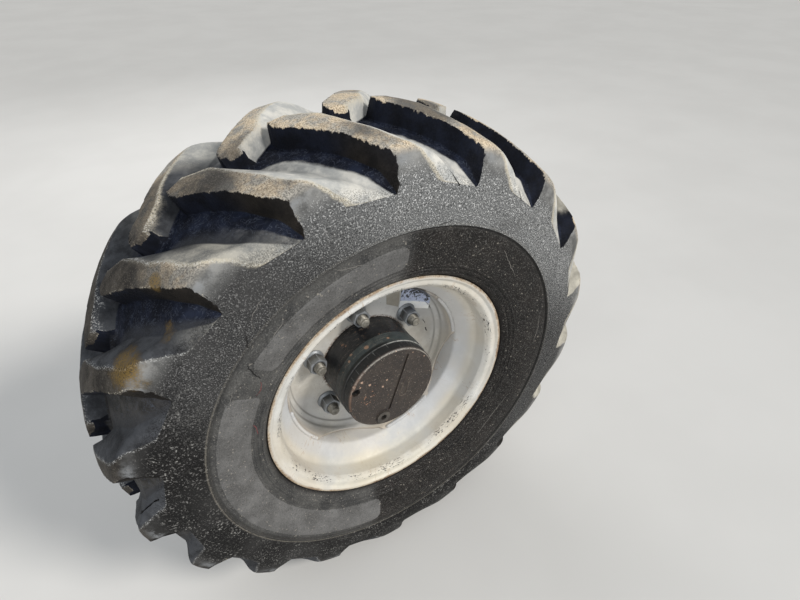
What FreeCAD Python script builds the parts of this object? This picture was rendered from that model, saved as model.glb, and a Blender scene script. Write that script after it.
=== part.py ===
import FreeCAD, Part
import math
import os
import re

import Sketcher

# Driven wheel of a small dumper: a traction tyre on a welded steel wheel, carried by a
# planetary hub on the end of an axle arm.
# +Z is up and +X to the right, seen from outside. The wheel axis lies along Y, with the
# outside of the wheel towards -Y. The origin is the centre of the arm's mounting face.
# Every body has its own frame: x right, y up and z outwards along the wheel axis, so a
# height in a sketch is a distance from the mounting face. Angles are in degrees from +X
# towards +Z.

SIZES = [
    ("wheel_offset", 400.0, "mounting face to centre plane of the wheel"),
    ("tyre_diameter", 852.0, "over the tread at the centre plane"),
    ("tread_width", 248.0, "between the shoulder corners"),
    ("shoulder_drop", 20.0, "tread radius lost from centre to shoulder"),
    ("lug_height", 30.0, "lugs above the floor of the grooves"),
    ("groove_edge", 6.0, "end of the groove floor inside the shoulder corner"),
    ("toe_depth", 74.0, "radius from the crown to the outer ends of the grooves"),
    ("toe_out", 17.0, "outer ends of the grooves beyond the shoulder corner"),
    ("tyre_width", 294.0, "over the sidewalls"),
    ("belly_height", 113.0, "widest point above the bead seat"),
    ("sidewall", 14.0, "thickness of the sidewall"),
    ("tread_wall", 20.0, "carcass under the groove floor"),
    ("seat_diameter", 388.6, "bead seats of the rim"),
    ("rim_width", 228.6, "between the rim flanges"),
    ("flange_height", 19.7, "rim flange above the bead seat"),
    ("flange_lip", 9.7, "radius of the rim flange's outward curl"),
    ("rim_wall", 6.0, "thickness of the rim section"),
    ("seat_width", 24.0, "bead seat"),
    ("seat_taper", 2.0, "radius lost across the bead seat"),
    ("flange_turn", 8.0, "radius from the bead seat into the rim flange"),
    ("well_depth", 28.8, "drop well below the bead seat"),
    ("well_width", 128.0, "floor of the drop well"),
    ("bead_gap", 0.3, "between tyre and rim"),
    ("disc_outset", 22.0, "outer face of the disc beyond the centre plane"),
    ("disc_wall", 8.0, "thickness of the disc"),
    ("disc_bore", 161.0, "centre bore of the disc"),
    ("disc_flat", 270.8, "flat middle of the disc"),
    ("ramp_rise", 3.0, "first bend of the disc above its face"),
    ("ramp_run", 5.5, "first bend of the disc beyond the flat"),
    ("bend_rise", 12.0, "second bend of the disc above its face"),
    ("bend_run", 14.3, "second bend of the disc beyond the flat"),
    ("lip_rise", 27.5, "edge of the disc above its face"),
    ("lip_wall", 6.2, "thickness of the disc's turned edge"),
    ("weld_reach", 12.5, "weld bead beyond the disc's edge"),
    ("arch_radius", 108.0, "arched cut-outs in the disc's edge"),
    ("arch_floor", 16.0, "bottom of the arches above the disc's face"),
    ("stud_circle", 205.0, "pitch circle of the wheel studs"),
    ("stud_hole", 19.0, "stud holes in the disc"),
    ("stud_diameter", 18.0, "wheel studs"),
    ("stud_reach", 32.0, "threaded part of the stud beyond the disc face"),
    ("stud_tip", 15.0, "diameter of the stud's tip"),
    ("tip_length", 4.0, "length of the stud's tip"),
    ("stud_head", 25.0, "diameter of the stud's head"),
    ("head_height", 8.0, "stud head behind the hub flange"),
    ("nut_flats", 27.0, "across flats of the wheel nut"),
    ("nut_height", 18.0, "hexagon of the wheel nut"),
    ("nut_collar", 36.0, "diameter of the nut's collar"),
    ("collar_height", 5.0, "collar of the wheel nut"),
    ("thread_gap", 0.05, "radial gap between stud and nut"),
    ("head_clearance", 3.0, "between bolt heads and the castings beside them"),
    ("hub_margin", 28.5, "hub flange beyond the stud circle"),
    ("flange_wall", 18.0, "thickness of the hub's wheel flange"),
    ("bore_gap", 0.5, "radial gap between the disc's bore and the drum"),
    ("drum_length", 47.0, "hub drum beyond the disc face"),
    ("drum_wall", 18.0, "wall of the drum round the gear chamber"),
    ("ring_step", 1.0, "gear ring proud of the drum"),
    ("ring_length", 26.0, "gear ring between drum and cover"),
    ("ring_chamfer", 1.5, "outer edge of the gear ring"),
    ("cover_step", 1.0, "cover set back from the drum"),
    ("cover_height", 18.3, "cover beyond the gear ring"),
    ("cover_chamfer", 3.0, "outer edge of the cover"),
    ("cover_wall", 14.0, "thickness of the cover's end"),
    ("cover_skirt", 16.0, "wall of the cover where it meets the gear ring"),
    ("groove_width", 5.0, "straight groove across the cover"),
    ("groove_depth", 2.0, "depth of the groove"),
    ("groove_length", 112.0, "length of the groove"),
    ("groove_shift", 6.9, "wheel axis to the middle of the groove, across it"),
    ("groove_lead", 10.8, "wheel axis to the middle of the groove, along it"),
    ("barrel_wall", 12.0, "hub barrel round the seal"),
    ("barrel_length", 62.0, "hub barrel behind the wheel flange"),
    ("bearing_inner", 100.0, "inner bearing journal"),
    ("bearing_outer", 84.0, "outer bearing journal"),
    ("bearing_width", 30.0, "each bearing land"),
    ("journal_step", 2.0, "spindle between its journals, above the outer one"),
    ("relief", 1.0, "seal journal above the inner bearing journal"),
    ("bore_relief", 5.0, "hub bore between the bearing lands"),
    ("running_gap", 0.1, "radial gap at the bearing lands"),
    ("seal_diameter", 126.0, "outside of the hub seal"),
    ("seal_width", 12.0, "width of the hub seal"),
    ("seal_gap", 0.3, "seal to its journal"),
    ("turning_gap", 6.0, "between the hub and the spindle flange"),
    ("spindle_wall", 16.0, "thickness of the spindle flange"),
    ("spindle_nose", 6.0, "spindle beyond the outer bearing land"),
    ("spindle_bore", 44.0, "bore through the spindle"),
    ("bush_length", 24.0, "bush at the end of the spindle"),
    ("spindle_bolt", 12.0, "diameter of the spindle bolts"),
    ("bolt_flats", 18.0, "across flats of the spindle bolts"),
    ("bolt_head", 8.0, "height of the spindle bolts' heads"),
    ("arm_bolts", 272.0, "pitch circle of the mounting holes"),
    ("arm_hole", 13.0, "mounting holes"),
    ("flange_margin", 14.0, "mounting flange beyond its hole circle"),
    ("arm_flange_wall", 18.0, "thickness of the mounting flange"),
    ("spigot_diameter", 210.0, "locating spigot of the mounting flange"),
    ("spigot_height", 6.0, "spigot beyond the mounting face"),
    ("housing_inset", 26.0, "outside of the arm inside the hole circle"),
    ("cast_fillet", 10.0, "fillet between the mounting flange and the arm"),
    ("housing_length", 70.0, "wide part of the arm"),
    ("cone_length", 100.0, "taper from the housing to the tube"),
    ("arm_tube", 122.0, "outside of the arm's tube"),
    ("arm_bore", 80.0, "bore of the arm"),
    ("rib_wall", 12.0, "ribs along the taper"),
    ("rib_rise", 8.0, "ribs above the arm"),
    ("rib_sink", 4.0, "root of the ribs below the arm's skin"),
    ("rib_tail", 40.0, "end of the ribs beyond the taper"),
    ("pad_length", 120.0, "chassis pad along the axle"),
    ("pad_width", 132.0, "chassis pad across the axle"),
    ("pad_height", 88.0, "chassis pad above the axle line"),
    ("pad_wall", 18.0, "thickness of the chassis pad"),
    ("pad_clear", 20.0, "between the chassis pad and the spindle bolts"),
    ("pad_hole", 17.0, "holes in the chassis pad"),
    ("pad_pitch_x", 100.0, "holes across the axle"),
    ("pad_pitch_y", 80.0, "holes along the axle"),
    ("web_inset", 6.0, "webs under the pad inside the width of the tube"),
    ("plug_inset", 16.5, "level plug inside the cover's edge"),
    ("plug_thread", 16.0, "thread of the level plug"),
    ("plug_head", 24.0, "head of the level plug"),
    ("plug_height", 3.0, "head of the level plug beyond the cover"),
    ("plug_socket", 10.0, "across flats of the plug's socket"),
    ("socket_depth", 7.0, "depth of the plug's socket"),
    ("screw_inset", 10.0, "cover screw inside the drum's skin"),
    ("screw_thread", 8.0, "thread of the cover screw"),
    ("screw_head", 14.0, "head of the cover screw"),
    ("screw_sink", 8.0, "head of the cover screw below the cover's face"),
    ("screw_height", 6.0, "height of the cover screw's head"),
    ("screw_bite", 12.0, "cover screw in the drum"),
    ("valve_diameter", 9.0, "valve stem"),
    ("valve_length", 20.0, "valve stem beyond the slope of the drop well"),
    ("valve_root", 9.0, "valve stem inside the tyre"),
    ("shaft_diameter", 34.0, "half shaft"),
    ("spline_diameter", 38.0, "over the splines"),
    ("spline_length", 46.0, "splined end"),
    ("spline_fade", 4.0, "taper from the splines to the bar"),
    ("shaft_end", 12.0, "splined end inside the mounting face"),
    ("shaft_nose", 8.0, "half shaft beyond the spindle"),
]

STUD_COUNT = 6
SPINDLE_BOLT_COUNT = 8
ARM_HOLE_COUNT = 12
ARCH_COUNT = 4
RIB_COUNT = 4
LUG_COUNT = 18
STUD_PHASE = 38.5
ARCH_PHASE = 68.0
PLUG_PHASE = 251.0
SCREW_PHASE = 160.0
VALVE_PHASE = 119.0
GROOVE_PHASE = 71.2
LUG_PHASE = 5.4

doc = FreeCAD.newDocument("wheel_end")
sheet = doc.addObject("Spreadsheet::Sheet", "Sizes")
for row, (alias, size, meaning) in enumerate(SIZES, start=1):
    sheet.set("A%d" % row, meaning)
    sheet.set("B%d" % row, str(size))
    sheet.setAlias("B%d" % row, alias)
doc.recompute()
ALIASES = {alias for alias, size, meaning in SIZES}
parts = []


def cells(text):
    """Turns the size names in a formula into references to the sheet."""
    swap = lambda found: "Sizes." + found.group() if found.group() in ALIASES else found.group()
    return re.sub(r"[a-z][a-z_]*", swap, text)


def number(text):
    """Value of a formula in millimetres."""
    return float(sheet.evalExpression(cells(text)))


def bind(item, prop, text):
    item.setExpression(prop, cells(text))


def origin_item(body, role):
    return next(item for item in body.Origin.OriginFeatures if item.Role == role)


def axle_frame(turn):
    """Placement whose z axis is the wheel axis, turned about it by an angle in degrees."""
    tilt = FreeCAD.Rotation(FreeCAD.Vector(1, 0, 0), 90)
    spin = FreeCAD.Rotation(FreeCAD.Vector(0, 0, 1), turn)
    return FreeCAD.Placement(FreeCAD.Vector(0, 0, 0), tilt * spin)


def new_body(label, turn=0.0):
    body = doc.addObject("PartDesign::Body", label)
    body.Label = label
    body.Placement = axle_frame(turn)
    parts.append(body)
    return body


def new_sketch(body, name, role, height=None):
    sketch = body.newObject("Sketcher::SketchObject", body.Name + "_" + name)
    sketch.AttachmentSupport = [(origin_item(body, role), "")]
    sketch.MapMode = "FlatFace"
    if height:
        bind(sketch, "AttachmentOffset.Base.z", height)
    return sketch


def outline(sketch, corners):
    """Closed outline of straight lines through corners (x, y)."""
    points = [FreeCAD.Vector(number(x), number(y), 0) for x, y in corners]
    lines = [Part.LineSegment(points[index - 1], end) for index, end in enumerate(points)]
    edges = [sketch.addGeometry(line, False) for line in lines]
    for index, (x, y) in enumerate(corners):
        following = edges[(index + 1) % len(edges)]
        sketch.addConstraint(Sketcher.Constraint("Coincident", edges[index], 2, following, 1))
        for kind, text, value in (
            ("DistanceX", x, points[index].x),
            ("DistanceY", y, points[index].y),
        ):
            sketch.addConstraint(Sketcher.Constraint(kind, -1, 1, edges[index], 2, value))
            bind(sketch, "Constraints[%d]" % (sketch.ConstraintCount - 1), text)


def circle(sketch, x, y, diameter):
    centre = FreeCAD.Vector(number(x), number(y), 0)
    edge = sketch.addGeometry(
        Part.Circle(centre, FreeCAD.Vector(0, 0, 1), number(diameter) / 2), False
    )
    for kind, text, value in (("DistanceX", x, centre.x), ("DistanceY", y, centre.y)):
        sketch.addConstraint(Sketcher.Constraint(kind, -1, 1, edge, 3, value))
        bind(sketch, "Constraints[%d]" % (sketch.ConstraintCount - 1), text)
    sketch.addConstraint(Sketcher.Constraint("Diameter", edge, number(diameter)))
    bind(sketch, "Constraints[%d]" % (sketch.ConstraintCount - 1), diameter)


def hexagon(sketch, x, flats):
    """Hexagon about (x, 0) with two corners on the line through the axis."""
    corner = "(%s) / 2 / cos(30)" % flats
    side = "(%s) / 2" % flats
    outline(sketch, [
        ("%s + %s" % (x, corner), "0"),
        ("%s + %s / 2" % (x, corner), side),
        ("%s - %s / 2" % (x, corner), side),
        ("%s - %s" % (x, corner), "0"),
        ("%s - %s / 2" % (x, corner), "-" + side),
        ("%s + %s / 2" % (x, corner), "-" + side),
    ])


def revolve(body, name, corners):
    sketch = new_sketch(body, name + "_section", "XZ_Plane")
    outline(sketch, corners)
    turned = body.newObject("PartDesign::Revolution", body.Name + "_" + name)
    turned.Profile = sketch
    turned.ReferenceAxis = (sketch, ["V_Axis"])
    turned.Angle = 360.0
    body.Tip = turned
    return turned


def polar(radius, angle):
    """Formulas for x and y of a point at an angle."""
    return "(%s) * cos(%r)" % (radius, angle), "(%s) * sin(%r)" % (radius, angle)


def pad(body, name, draw, height, length):
    sketch = new_sketch(body, name + "_shape", "XY_Plane", height)
    draw(sketch)
    raised = body.newObject("PartDesign::Pad", body.Name + "_" + name)
    raised.Profile = sketch
    bind(raised, "Length", length)
    body.Tip = raised
    return raised


def pocket(body, name, draw, height, depth):
    """Cuts inwards, towards the mounting face, from a height."""
    sketch = new_sketch(body, name + "_shape", "XY_Plane", height)
    draw(sketch)
    sunk = body.newObject("PartDesign::Pocket", body.Name + "_" + name)
    sunk.Profile = sketch
    bind(sunk, "Length", depth)
    body.Tip = sunk
    return sunk


def around(body, name, features, count):
    """Repeats features evenly about the wheel axis."""
    pattern = body.newObject("PartDesign::PolarPattern", body.Name + "_" + name)
    pattern.Originals = features
    pattern.Axis = (origin_item(body, "Z_Axis"), [""])
    pattern.Angle = 360.0
    pattern.Occurrences = count
    body.Tip = pattern
    return pattern


DISC_FACE = "(wheel_offset + disc_outset)"
DISC_BACK = "(%s - disc_wall)" % DISC_FACE
HUB_BACK = "(%s - flange_wall)" % DISC_BACK
BARREL_END = "(%s - barrel_length)" % HUB_BACK
SPINDLE_FACE = "(%s - turning_gap)" % BARREL_END
ARM_END = "(%s - spindle_wall)" % SPINDLE_FACE
BOLT_SEAT = "(%s - spindle_wall)" % ARM_END
CHAMBER = "(%s + flange_wall)" % DISC_BACK
SPINDLE_END = "(%s + spindle_nose)" % CHAMBER
DRUM_END = "(%s + drum_length)" % DISC_FACE
RING_END = "(%s + ring_length)" % DRUM_END
COVER_END = "(%s + cover_height)" % RING_END
PAD_CENTRE = "(%s - bolt_head - pad_clear - pad_length / 2)" % BOLT_SEAT
SEAT = "seat_diameter / 2"
FLANGE_TOP = "(seat_diameter / 2 + flange_height)"
WELL = "(seat_diameter / 2 - well_depth)"
WELL_BORE = "(%s - rim_wall)" % WELL
DRUM = "(disc_bore / 2 - bore_gap)"
GEAR_BORE = "(%s - drum_wall)" % DRUM
COVER = "(%s - cover_step)" % DRUM
COVER_FACE = "(%s - cover_chamfer)" % COVER
PLUG_PLACE = "(%s - plug_inset)" % COVER_FACE
SCREW_PLACE = "(%s - screw_inset)" % DRUM
HOUSING = "(arm_bolts / 2 - housing_inset)"
BOLT_PLACE = "(arm_tube / 2 + bolt_flats / 2 / cos(30) + head_clearance)"
SPINDLE_FLANGE = "(%s + bolt_flats / 2 / cos(30) + head_clearance)" % BOLT_PLACE
VALVE_PLACE = "(seat_diameter / 2 - (well_depth + seat_taper) / 2 - rim_wall / 2)"
VALVE_SEAT = "(wheel_offset + (well_width / 2 + rim_width / 2 - seat_width) / 2)"

# Rows across one half of the tread: place as a share of half the tread width, lugs raised
# or not, and the angles of the four corners of a lug, back from where its steep edge would
# cross the centre plane: gentle foot, gentle edge, steep edge and steep foot.
LUG_ROWS = [
    (-0.113, False, 6.0, 4.9, 1.3, 0.6),
    (-0.081, True, 6.6, 4.9, 1.3, 0.5),
    (0.081, True, 10.2, 8.7, 1.4, 0.6),
    (0.113, True, 10.4, 9.1, 1.8, 1.0),
    (0.42, True, 17.8, 11.6, 6.4, 5.6),
    (0.81, True, 23.6, 16.2, 11.3, 10.5),
    (1.0, True, 27.2, 19.8, 13.4, 12.6),
]
TOE_ANGLES = (33.1, 25.8, 14.4, 14.0)
# Rows down the sidewall: height above the rim flange as a share of the height of the widest
# point, and distance inside the widest point.
SIDE_ROWS = [(1.24, 1.0), (0.975, 0.0), (0.6, 2.5), (0.28, 10.5), (0.13, 16.0), (0.03, 20.5)]
WHEEL_CENTRE = number("wheel_offset")
MESH_TOLERANCE = 0.001
WALL_STEPS = 72
BEAD_STEPS = 36
# Order of the point in the middle of the groove, between the corners 0 to 3 of a lug and
# the corners 4 to 7 of the other side's lug.
FLOOR_ORDER = 5.5
CELL_ORDERS = 8


def tread_radius(share):
    return number("tyre_diameter / 2") - number("shoulder_drop") * share * share


def lug_corners(row):
    """Four corners of a lug on one row: radius, place across the tread and angle."""
    share, raised, *angles = row
    half = number("tread_width / 2")
    floor_share = min(share, 1.0 - number("groove_edge") / half)
    floor = (tread_radius(floor_share) - number("lug_height"), floor_share * half)
    top = (tread_radius(share), share * half) if raised else floor
    return [place + (-angle,) for place, angle in zip((floor, top, top, floor), angles)]


def tread_ring(row, opposite, side):
    """Ring of points on a row: its lugs and, near the centre plane, those of the other side.

    A point is its order round the tyre, radius, place across the tread and angle. The other
    side's lugs are a mirror image, turned by half a pitch.
    """
    pitch = 360.0 / LUG_COUNT
    own = [(order, *corner) for order, corner in enumerate(lug_corners(row))]
    if opposite:
        other = [
            (CELL_ORDERS // 2 + order, radius, -place, angle + pitch / 2)
            for order, (radius, place, angle) in enumerate(lug_corners(opposite))
        ]
    else:
        radius, place = own[0][1:3]
        other = [(FLOOR_ORDER, radius, place, (own[3][3] + own[0][3] + pitch) / 2)]
    return turn_ring(own + other, side)


def turn_ring(cell, side):
    """Repeats the points of one pitch round the tyre, on the outer (1) or inner (-1) side."""
    pitch = 360.0 / LUG_COUNT
    shift, turn = (0, 0.0) if side > 0 else (CELL_ORDERS // 2, pitch / 2)
    ring = [
        (order + shift + CELL_ORDERS * index, radius, side * place, angle + turn + pitch * index)
        for index in range(LUG_COUNT)
        for order, radius, place, angle in cell
    ]
    return sorted(ring)


def plain_ring(radius, place, steps, side):
    """Regular polygon round the circle of a radius, its flats on the circle."""
    outside = radius / math.cos(math.pi / steps)
    return [(None, outside, side * place, index * 360.0 / steps) for index in range(steps)]


def point_of(item):
    radius, place, angle = item[1:]
    turned = math.radians(angle + LUG_PHASE)
    return radius * math.cos(turned), radius * math.sin(turned), WHEEL_CENTRE + place


def unrolled(ring, column, cycle):
    """Points of a ring with their key, from the lowest key once round to the same point."""
    keyed = sorted((item[column] % cycle, point_of(item)) for item in ring)
    return keyed + [(keyed[0][0] + cycle, keyed[0][1])]


def band(lower, upper):
    """Triangles between two rings, joined by the order of the points or by their angles."""
    ordered = lower[0][0] is not None and upper[0][0] is not None
    column, cycle = (0, CELL_ORDERS * LUG_COUNT) if ordered else (3, 360.0)
    low = unrolled(lower, column, cycle)
    high = unrolled(upper, column, cycle)
    triangles = []
    i = j = 0
    while i < len(low) - 1 or j < len(high) - 1:
        corner = (low[i][1], high[j][1])
        take_low = j == len(high) - 1 or (i < len(low) - 1 and low[i + 1][0] <= high[j + 1][0])
        if take_low:
            i += 1
            triangles.append(corner + (low[i][1],))
        else:
            j += 1
            triangles.append(corner + (high[j][1],))
    return triangles


def half_section(side):
    """Rings of one half of the tyre, from the first row beyond the centre to the cavity."""
    seat = number(SEAT + " + bead_gap")
    top = number(FLANGE_TOP + " + bead_gap")
    belly = number(SEAT + " + belly_height")
    heel = number("rim_width / 2 - seat_width")
    flange = number("rim_width / 2 - bead_gap")
    curl = number("flange_lip + bead_gap")
    lip = number("rim_width / 2 + flange_lip")
    bevel = curl * math.tan(math.pi / 8)
    wall = number("sidewall")
    crown = number("tyre_diameter / 2 - lug_height - tread_wall")
    toe = (number("tyre_diameter / 2 - toe_depth"), number("tread_width / 2 + toe_out"))
    centre = len([row for row in LUG_ROWS if row[0] < 0])
    rings = [
        tread_ring(LUG_ROWS[centre], LUG_ROWS[centre - 1], side),
        tread_ring(LUG_ROWS[centre + 1], LUG_ROWS[centre - 2], side),
    ]
    rings += [tread_ring(row, None, side) for row in LUG_ROWS[centre + 2:]]
    middle = (TOE_ANGLES[0] + TOE_ANGLES[3] - 360.0 / LUG_COUNT) / 2
    toe_cell = [(order, *toe, -angle) for order, angle in enumerate(TOE_ANGLES)]
    rings.append(turn_ring(toe_cell + [(FLOOR_ORDER, *toe, -middle)], side))
    outside = [
        (top + (belly - top) * share, number("tyre_width / 2") - inset)
        for share, inset in SIDE_ROWS
    ]
    inside = [
        (top, lip),
        (top, lip - bevel),
        (top - curl + bevel, flange),
        (seat, flange),
        (seat, heel),
        (seat + wall, heel),
        (top + wall, heel + wall),
        (belly, number("tyre_width / 2 - sidewall")),
        (crown - wall, number("tread_width / 2 - sidewall")),
        (crown, number("tread_width / 4")),
    ]
    rings += [plain_ring(radius, place, WALL_STEPS, side) for radius, place in outside]
    rings += [plain_ring(radius, place, BEAD_STEPS, side) for radius, place in inside]
    return rings


def make_tyre():
    """Tyre as one closed shell of flat faces, ring joined to ring round its section."""
    loop = half_section(1) + half_section(-1)[::-1]
    triangles = []
    for index, ring in enumerate(loop):
        triangles += band(ring, loop[(index + 1) % len(loop)])
    points = sorted({corner for triangle in triangles for corner in triangle})
    places = {point: index for index, point in enumerate(points)}
    facets = [tuple(places[corner] for corner in triangle) for triangle in triangles]
    vectors = [FreeCAD.Vector(*point) for point in points]
    shell = Part.Shape()
    shell.makeShapeFromMesh((vectors, facets), MESH_TOLERANCE)
    solid = Part.Solid(shell.Shells[0])
    if solid.Volume < 0:
        solid.reverse()
    tyre = doc.addObject("Part::Feature", "tyre")
    tyre.Label = "tyre"
    tyre.Shape = solid
    tyre.Placement = axle_frame(0.0)
    parts.append(tyre)


def make_rim():
    body = new_body("rim")
    skin = "%s - rim_wall" % SEAT
    out = "wheel_offset + (%s)"
    back = "wheel_offset - (%s)"
    brim = "rim_width / 2 + flange_lip"
    ledge = "rim_width / 2 - seat_width"
    inner = "rim_width / 2 + rim_wall"
    turn = inner + " - flange_turn"
    root = FLANGE_TOP + " - flange_lip"
    bend = root + " + flange_lip * cos(45)"
    curl = brim + " - flange_lip * sin(45)"
    revolve(body, "section", [
        (FLANGE_TOP, back % brim),
        (bend, back % curl),
        (root, back % "rim_width / 2"),
        (SEAT, back % "rim_width / 2"),
        (SEAT + " - seat_taper", back % ledge),
        (WELL, back % "well_width / 2"),
        (WELL, out % "well_width / 2"),
        (SEAT + " - seat_taper", out % ledge),
        (SEAT, out % "rim_width / 2"),
        (root, out % "rim_width / 2"),
        (bend, out % curl),
        (FLANGE_TOP, out % brim),
        (FLANGE_TOP + " - rim_wall", out % brim),
        (root, out % inner),
        (skin + " + flange_turn", out % inner),
        (skin, out % turn),
        (skin + " - seat_taper", out % ledge),
        (WELL_BORE, out % "well_width / 2"),
        (WELL_BORE, back % "well_width / 2"),
        (skin + " - seat_taper", back % ledge),
        (skin, back % turn),
        (skin + " + flange_turn", back % inner),
        (root, back % inner),
        (FLANGE_TOP + " - rim_wall", back % brim),
    ])
    pocket(body, "valve_hole", lambda sketch: circle(
        sketch, *polar(VALVE_PLACE, VALVE_PHASE), "valve_diameter"
    ), VALVE_SEAT + " + seat_width", "2 * seat_width")


def make_disc():
    body = new_body("wheel_disc", ARCH_PHASE)
    flat = "disc_flat / 2"
    revolve(body, "pressing", [
        ("disc_bore / 2", DISC_BACK),
        ("disc_bore / 2", DISC_FACE),
        (flat, DISC_FACE),
        (flat + " + ramp_run", DISC_FACE + " + ramp_rise"),
        (flat + " + bend_run", DISC_FACE + " + bend_rise"),
        (WELL_BORE + " - lip_wall", DISC_FACE + " + lip_rise"),
        (WELL_BORE, DISC_FACE + " + lip_rise + weld_reach"),
        (WELL_BORE, DISC_FACE + " + ramp_rise"),
        (flat + " + bend_run", DISC_BACK + " + ramp_rise"),
        (flat + " + ramp_run", DISC_BACK),
    ])
    sketch = new_sketch(body, "arch_shape", "YZ_Plane", WELL)
    circle(sketch, "0", DISC_FACE + " + arch_floor + arch_radius", "2 * arch_radius")
    arch = body.newObject("PartDesign::Pocket", body.Name + "_arch")
    arch.Profile = sketch
    bind(arch, "Length", WELL + " / 2")
    body.Tip = arch
    around(body, "arches", [arch], ARCH_COUNT)
    hole = pocket(body, "stud_hole", lambda sketch: circle(
        sketch, *polar("stud_circle / 2", STUD_PHASE - ARCH_PHASE), "stud_hole"
    ), DISC_FACE, "disc_wall")
    around(body, "stud_holes", [hole], STUD_COUNT)


def make_hub():
    """Hub casting: wheel flange, bearing barrel behind it and gear drum through the disc."""
    body = new_body("hub", STUD_PHASE)
    journal_out = "bearing_outer / 2 + running_gap"
    journal_in = "bearing_inner / 2 + running_gap"
    land = BARREL_END + " + seal_width"
    revolve(body, "casting", [
        ("stud_circle / 2 + hub_margin", HUB_BACK),
        ("stud_circle / 2 + hub_margin", DISC_BACK),
        (DRUM, DISC_BACK),
        (DRUM, DRUM_END),
        (GEAR_BORE, DRUM_END),
        (GEAR_BORE, CHAMBER),
        (journal_out, CHAMBER),
        (journal_out, CHAMBER + " - bearing_width"),
        (journal_in + " + bore_relief", CHAMBER + " - bearing_width"),
        (journal_in + " + bore_relief", land + " + bearing_width"),
        (journal_in, land + " + bearing_width"),
        (journal_in, land),
        ("seal_diameter / 2", land),
        ("seal_diameter / 2", BARREL_END),
        ("seal_diameter / 2 + barrel_wall", BARREL_END),
        ("stud_circle / 2 - stud_head / 2 - head_clearance", HUB_BACK),
    ])
    hole = pocket(body, "stud_seat", lambda sketch: circle(
        sketch, "stud_circle / 2", "0", "stud_diameter"
    ), DISC_BACK, "flange_wall")
    around(body, "stud_seats", [hole], STUD_COUNT)
    pocket(body, "screw_thread", lambda sketch: circle(
        sketch, *polar(SCREW_PLACE, SCREW_PHASE - STUD_PHASE), "screw_thread"
    ), DRUM_END, "screw_bite")


def make_gear_ring():
    """Ring round the planet gears, clamped between the drum and the cover."""
    body = new_body("gear_ring", SCREW_PHASE)
    ring = "%s + ring_step" % DRUM
    revolve(body, "ring", [
        (GEAR_BORE, DRUM_END),
        (ring, DRUM_END),
        (ring, RING_END + " - ring_chamfer"),
        (ring + " - ring_chamfer", RING_END),
        (GEAR_BORE, RING_END),
    ])
    pocket(body, "screw_hole", lambda sketch: circle(
        sketch, SCREW_PLACE, "0", "screw_thread"
    ), RING_END, "ring_length")


def make_cover():
    """Cover of the planet carrier, with its groove, plug seat and screw hole."""
    body = new_body("carrier_cover", GROOVE_PHASE)
    revolve(body, "casting", [
        ("0", COVER_END + " - cover_wall"),
        (COVER + " - cover_skirt", COVER_END + " - cover_wall"),
        (COVER + " - cover_skirt", RING_END),
        (COVER, RING_END),
        (COVER, COVER_END + " - cover_chamfer"),
        (COVER_FACE, COVER_END),
        ("0", COVER_END),
    ])
    pocket(body, "groove", lambda sketch: outline(sketch, [
        ("groove_length / 2 + groove_lead", "-groove_width / 2 - groove_shift"),
        ("groove_length / 2 + groove_lead", "groove_width / 2 - groove_shift"),
        ("-groove_length / 2 + groove_lead", "groove_width / 2 - groove_shift"),
        ("-groove_length / 2 + groove_lead", "-groove_width / 2 - groove_shift"),
    ]), COVER_END, "groove_depth")
    pocket(body, "plug_seat", lambda sketch: circle(
        sketch, *polar(PLUG_PLACE, PLUG_PHASE - GROOVE_PHASE), "plug_thread"
    ), COVER_END, "cover_wall")
    screw = polar(SCREW_PLACE, SCREW_PHASE - GROOVE_PHASE)
    pocket(body, "screw_seat", lambda sketch: circle(sketch, *screw, "screw_head"),
           COVER_END, "screw_sink + screw_height")
    pocket(body, "screw_hole", lambda sketch: circle(sketch, *screw, "screw_thread"),
           COVER_END, "cover_height")


def make_level_plug():
    """Round plug with a hexagon socket, screwed into the cover's end."""
    body = new_body("level_plug", PLUG_PHASE)
    at = lambda sketch, size: circle(sketch, PLUG_PLACE, "0", size)
    pad(body, "thread", lambda sketch: at(sketch, "plug_thread"),
        COVER_END + " - cover_wall", "cover_wall")
    pad(body, "head", lambda sketch: at(sketch, "plug_head"), COVER_END, "plug_height")
    pocket(body, "socket", lambda sketch: hexagon(sketch, PLUG_PLACE, "plug_socket"),
           COVER_END + " + plug_height", "socket_depth")


def make_cover_screw():
    """Sunk screw that holds the cover and the gear ring to the drum."""
    body = new_body("cover_screw", SCREW_PHASE)
    at = lambda sketch, size: circle(sketch, SCREW_PLACE, "0", size)
    pad(body, "thread", lambda sketch: at(sketch, "screw_thread"),
        DRUM_END + " - screw_bite",
        "screw_bite + ring_length + cover_height - screw_sink - screw_height")
    pad(body, "head", lambda sketch: at(sketch, "screw_head"),
        COVER_END + " - screw_sink - screw_height", "screw_height")


def make_valve():
    """Valve stem in the outer slope of the rim's drop well."""
    body = new_body("valve_stem", VALVE_PHASE)
    pad(body, "stem", lambda sketch: circle(sketch, VALVE_PLACE, "0", "valve_diameter"),
        VALVE_SEAT + " - valve_root", "valve_root + valve_length")


def make_seal():
    body = new_body("hub_seal")
    journal = "bearing_inner / 2 + relief + seal_gap"
    revolve(body, "ring", [
        (journal, BARREL_END),
        ("seal_diameter / 2", BARREL_END),
        ("seal_diameter / 2", BARREL_END + " + seal_width"),
        (journal, BARREL_END + " + seal_width"),
    ])


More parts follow.
